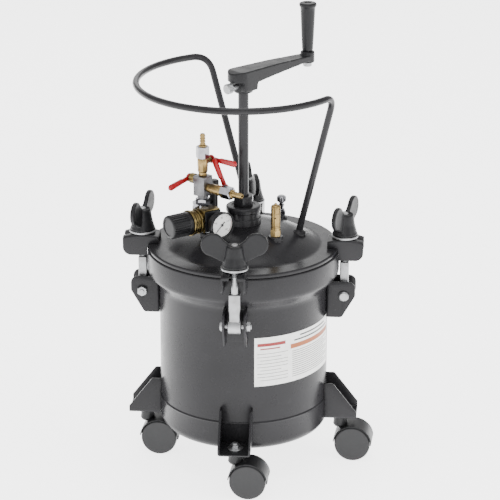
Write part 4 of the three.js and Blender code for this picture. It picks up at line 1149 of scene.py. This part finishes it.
k = regulator["knob"]
start = neckEnd + 4 + fit
end = start + regulator["knobLength"]
flutes = []
for i in range(regulator["ribs"]):
    for share, depth in ((0, 0), (0.42, 0), (0.56, 1.1), (0.86, 1.1)):
        angle = radians(360 * (i + share) / regulator["ribs"])
        flutes.append(((k - depth) * cos(angle), (k - depth) * sin(angle)))
knob = deck("regulatorKnob", flutes, start - 1, end + 1)
trim(knob, turned("knobEnds", [(0, start), (k - 1.4, start), (k + 0.2, start + 1.4),
    (k + 0.2, end - 3), (k - 0.6, end - 1.2), (k - 2.4, end), (0, end)], 96))
carve(knob, boreTool(11.3, start - 1, neckEnd + 13.3))
carve(knob, turned("knobDish", [(0, end - 1), (12, end - 1), (13, end + 1.4), (0, end + 1.4)], 64))
gather(knob, turned("knobSkirt", [(15.6, start + 0.2), (k - 0.4, start + 0.2),
    (k + 0.1, start + 0.7), (k + 0.1, start + 5.6), (k - 0.4, start + 6.2), (15.6, start + 6.2),
    (15.6, start + 0.2)], 96))
finish(put(along("X", knob), **onRegulator), "mouldedBlack", "regulator_knob", ["regulator_knob"])

# gauge, drawn facing up Z with the top of its dial along Y
gauge = {"radius": 20, "depth": 28, "stem": 8, "lift": 2, "numbers": [0, 40, 80, 120, 160],
    "start": 225, "sweep": 270, "text": 3.6}
dialR, depth = gauge["radius"], gauge["depth"]
dialFace, backFace = depth - 4, gauge["stem"] + 6


def onGauge(piece):
    put(piece, tilt=(90, 0))
    put(piece, (0, half + fit, gauge["lift"]), 180)
    return put(piece, **onRegulator)


case = turned("gaugeCase", [(0, 0), (8.4, 0), (9, 0.6), (9, backFace - 1), (9.6, backFace),
    (dialR - 3.4, backFace), (dialR - 2.2, backFace + 0.6), (dialR - 1.6, backFace + 2),
    (dialR - 1.6, depth - 6), (dialR - 0.4, depth - 5.4), (dialR, depth - 4.6),
    (dialR, depth - 1.2), (dialR - 0.6, depth - 0.3), (dialR - 1.4, depth),
    (dialR - 2, depth - 0.4), (dialR - 2.2, depth - 1.4), (dialR - 2.2, dialFace - 0.4),
    (0, dialFace - 0.4)], 96)
finish(onGauge(case), "mouldedBlack", nodes=["gauge_case"])
dial = turned("gaugeDial", [(0, dialFace - 0.5), (dialR - 2.3, dialFace - 0.5),
    (dialR - 2.3, dialFace), (0, dialFace)], 96)
finish(onGauge(dial), "dialWhite")

marks = None
for i in range(33):
    turn = gauge["start"] - gauge["sweep"] * i / 32
    major = i % 4 == 0
    mark = block("dialMarks", (dialR - (6.4 if major else 4.8), -0.26 if major else -0.13,
        dialFace - 0.05), (dialR - 3.2, 0.26 if major else 0.13, dialFace + 0.05))
    put(mark, turn=turn)
    marks = gather(marks, mark) if marks else mark
for i, number in enumerate(gauge["numbers"]):
    turn = radians(gauge["start"] - gauge["sweep"] * i / (len(gauge["numbers"]) - 1))
    pick()
    bpy.ops.object.text_add(location=(0, 0, 0))
    text = bpy.context.object
    text.data.body = str(number)
    text.data.size = gauge["text"] * mm
    text.data.align_x, text.data.align_y = "CENTER", "CENTER"
    text.data.extrude = 0.04 * mm
    bpy.ops.object.convert(target="MESH")
    put(text, ((dialR - 9) * cos(turn), (dialR - 9) * sin(turn), dialFace))
    gather(marks, text)
finish(onGauge(marks), "dialPrint")
# a spin runs clockwise, so the band is turned to where it ends
redBand = swept("dialBand", [(dialR - 4.2, 0, dialFace - 0.02), (dialR - 3.4, 0, dialFace - 0.02),
    (dialR - 3.4, 0, dialFace + 0.04), (dialR - 4.2, 0, dialFace + 0.04)], 24, 60, (0, 0, 1))
put(redBand, turn=17)
finish(onGauge(redBand), "redPrint")
needle = deck("gaugeNeedle", [(-0.8, -6), (0.8, -6), (0.55, 0), (0.16, dialR - 5.4),
    (-0.16, dialR - 5.4), (-0.55, 0)], dialFace + 0.6, dialFace + 1)
unite(needle, turned("needleHub", [(0, dialFace + 0.35), (2, dialFace + 0.35), (2, dialFace + 1.3),
    (1.5, dialFace + 1.6), (0, dialFace + 1.6)], 32))
put(needle, turn=gauge["start"] - 90)
finish(onGauge(needle), "dialPrint", "gauge_needle", ["gauge_needle"])
print("regulator and gauge made")

# relief valve and vent, on their bosses
reliefX, reliefY = bosses["relief"][:2]
reliefLow = bossTop(reliefX, reliefY) + fit
relief = nutShape("reliefValve", 14, 0, 9.6)
gather(relief, turned("reliefRod", [(0, -8), (5, -8), (5, 0.4), (0, 0.4)], 40))
gather(relief, turned("reliefBody", [(0, 9), (6.4, 9), (7, 9.6), (7, 13.4), (6.5, 14), (6.5, 16),
    (7, 16.6), (7, 34), (6.6, 34.4), (6.6, 35.6), (7, 36), (7, 44.6), (6.4, 46), (5, 47),
    (3.4, 47.4), (3, 47), (2.2, 47), (2, 47.4), (2, 49.6), (1.4, 50), (0, 50)], 72))
carve(relief, *[put(along("Y", boreTool(1.3, -9, 9, steps=20)), (0, 0, 29), turn) for turn in (0, 90)])
finish(put(relief, (reliefX, reliefY, reliefLow)), "brass", nodes=["relief_valve"])

ventX, ventY = bosses["vent"][:2]
ventLow = bossTop(ventX, ventY) + fit
ventValve = nutShape("ventValve", 12, 0, 8.6)
gather(ventValve, turned("ventBody", [(0, -7), (4, -7), (4, 0.4), (3.4, 8.4), (4.6, 8.8),
    (4.9, 9.4), (4.9, 11.6), (4.4, 12.2), (3.4, 12.6), (3.4, 16), (4.4, 16.4), (4.4, 19.4),
    (3.2, 20), (3.2, 22), (0, 22)], 56))
finish(put(ventValve, (ventX, ventY, ventLow)), "chromePlate", nodes=["vent_valve"])
knurl = [(7 - (0.45 if i % 2 else 0), radians(360 * i / 56)) for i in range(56)]
ventKnob = deck("ventKnob", [(a * cos(b), a * sin(b)) for a, b in knurl], 23, 33)
trim(ventKnob, turned("ends", [(0, 24), (6, 24), (7.1, 25), (7.1, 31), (6, 32), (0, 32)], 56))
gather(ventKnob, turned("knobCap", [
    (0, 22.4), (4.4, 22.4), (5, 23), (5, 24.4), (5.4, 31.8), (5.2, 32.6), (4.6, 33), (0, 33)], 56))
finish(put(ventKnob, (ventX, ventY, ventLow)), "chromePlate", "vent_knob", ["vent_knob"])
print("relief valve and vent made")

# printed plate on the tank: an orange stripe, red marks and blank rules
plate = {"start": -78, "end": -6, "top": rimTop - 97, "low": rimTop - 173, "thick": 0.22,
    "radius": 125.06, "print": 0.06}


def bentStrip(name, radius, thick, start, end, low, high):
    # a strip lying on the tank, spun from its end back to its start
    piece = swept(name, [(radius, 0, low), (radius + thick, 0, low), (radius + thick, 0, high),
        (radius, 0, high)], max(4, round((end - start) * 0.8)), end - start, (0, 0, 1))
    return put(piece, turn=end)


finish(bentStrip("printedPlate", plate["radius"], plate["thick"], plate["start"], plate["end"],
    plate["low"], plate["top"]), "dialWhite")
onPlate = plate["radius"] + plate["thick"] - 0.02
divide = plate["start"] + 26
finish(bentStrip("plateStripe", onPlate, plate["print"], divide, plate["end"] - 1,
    plate["top"] - 24, plate["top"] - 17), "orangePrint")
rules = [(plate["start"] + 2 + 2 * (i % 3 == 2), divide - 2 - 5 * (i % 4 == 1),
    plate["top"] - 26 - 5.2 * i, 0.7) for i in range(9)]
rules += [(divide + 1.5, plate["end"] - 2 - 7 * (i % 3 == 1), plate["top"] - 29 - 3.3 * i,
    0.9) for i in range(13)]
rules += [(divide + 8, plate["end"] - 8, plate["top"] - 7, 2.2),
    (divide + 3, plate["end"] - 3, plate["top"] - 13, 2.2)]
rulePrint = None
for start, end, low, tall in rules:
    strip = bentStrip("plateRules", onPlate, plate["print"], start, end, low, low + tall)
    rulePrint = gather(rulePrint, strip) if rulePrint else strip
finish(rulePrint, "greyPrint")
finish(gather(bentStrip("plateMarks", onPlate, plate["print"], plate["start"] + 2, divide - 4,
    plate["top"] - 14, plate["top"] - 9), bentStrip("marks", onPlate, plate["print"],
    plate["start"] + 4, divide - 8, plate["top"] - 19, plate["top"] - 17)), "redPrint")
print("plate printed")

for tool in (tankTool, lidTool):
    bpy.data.objects.remove(tool)
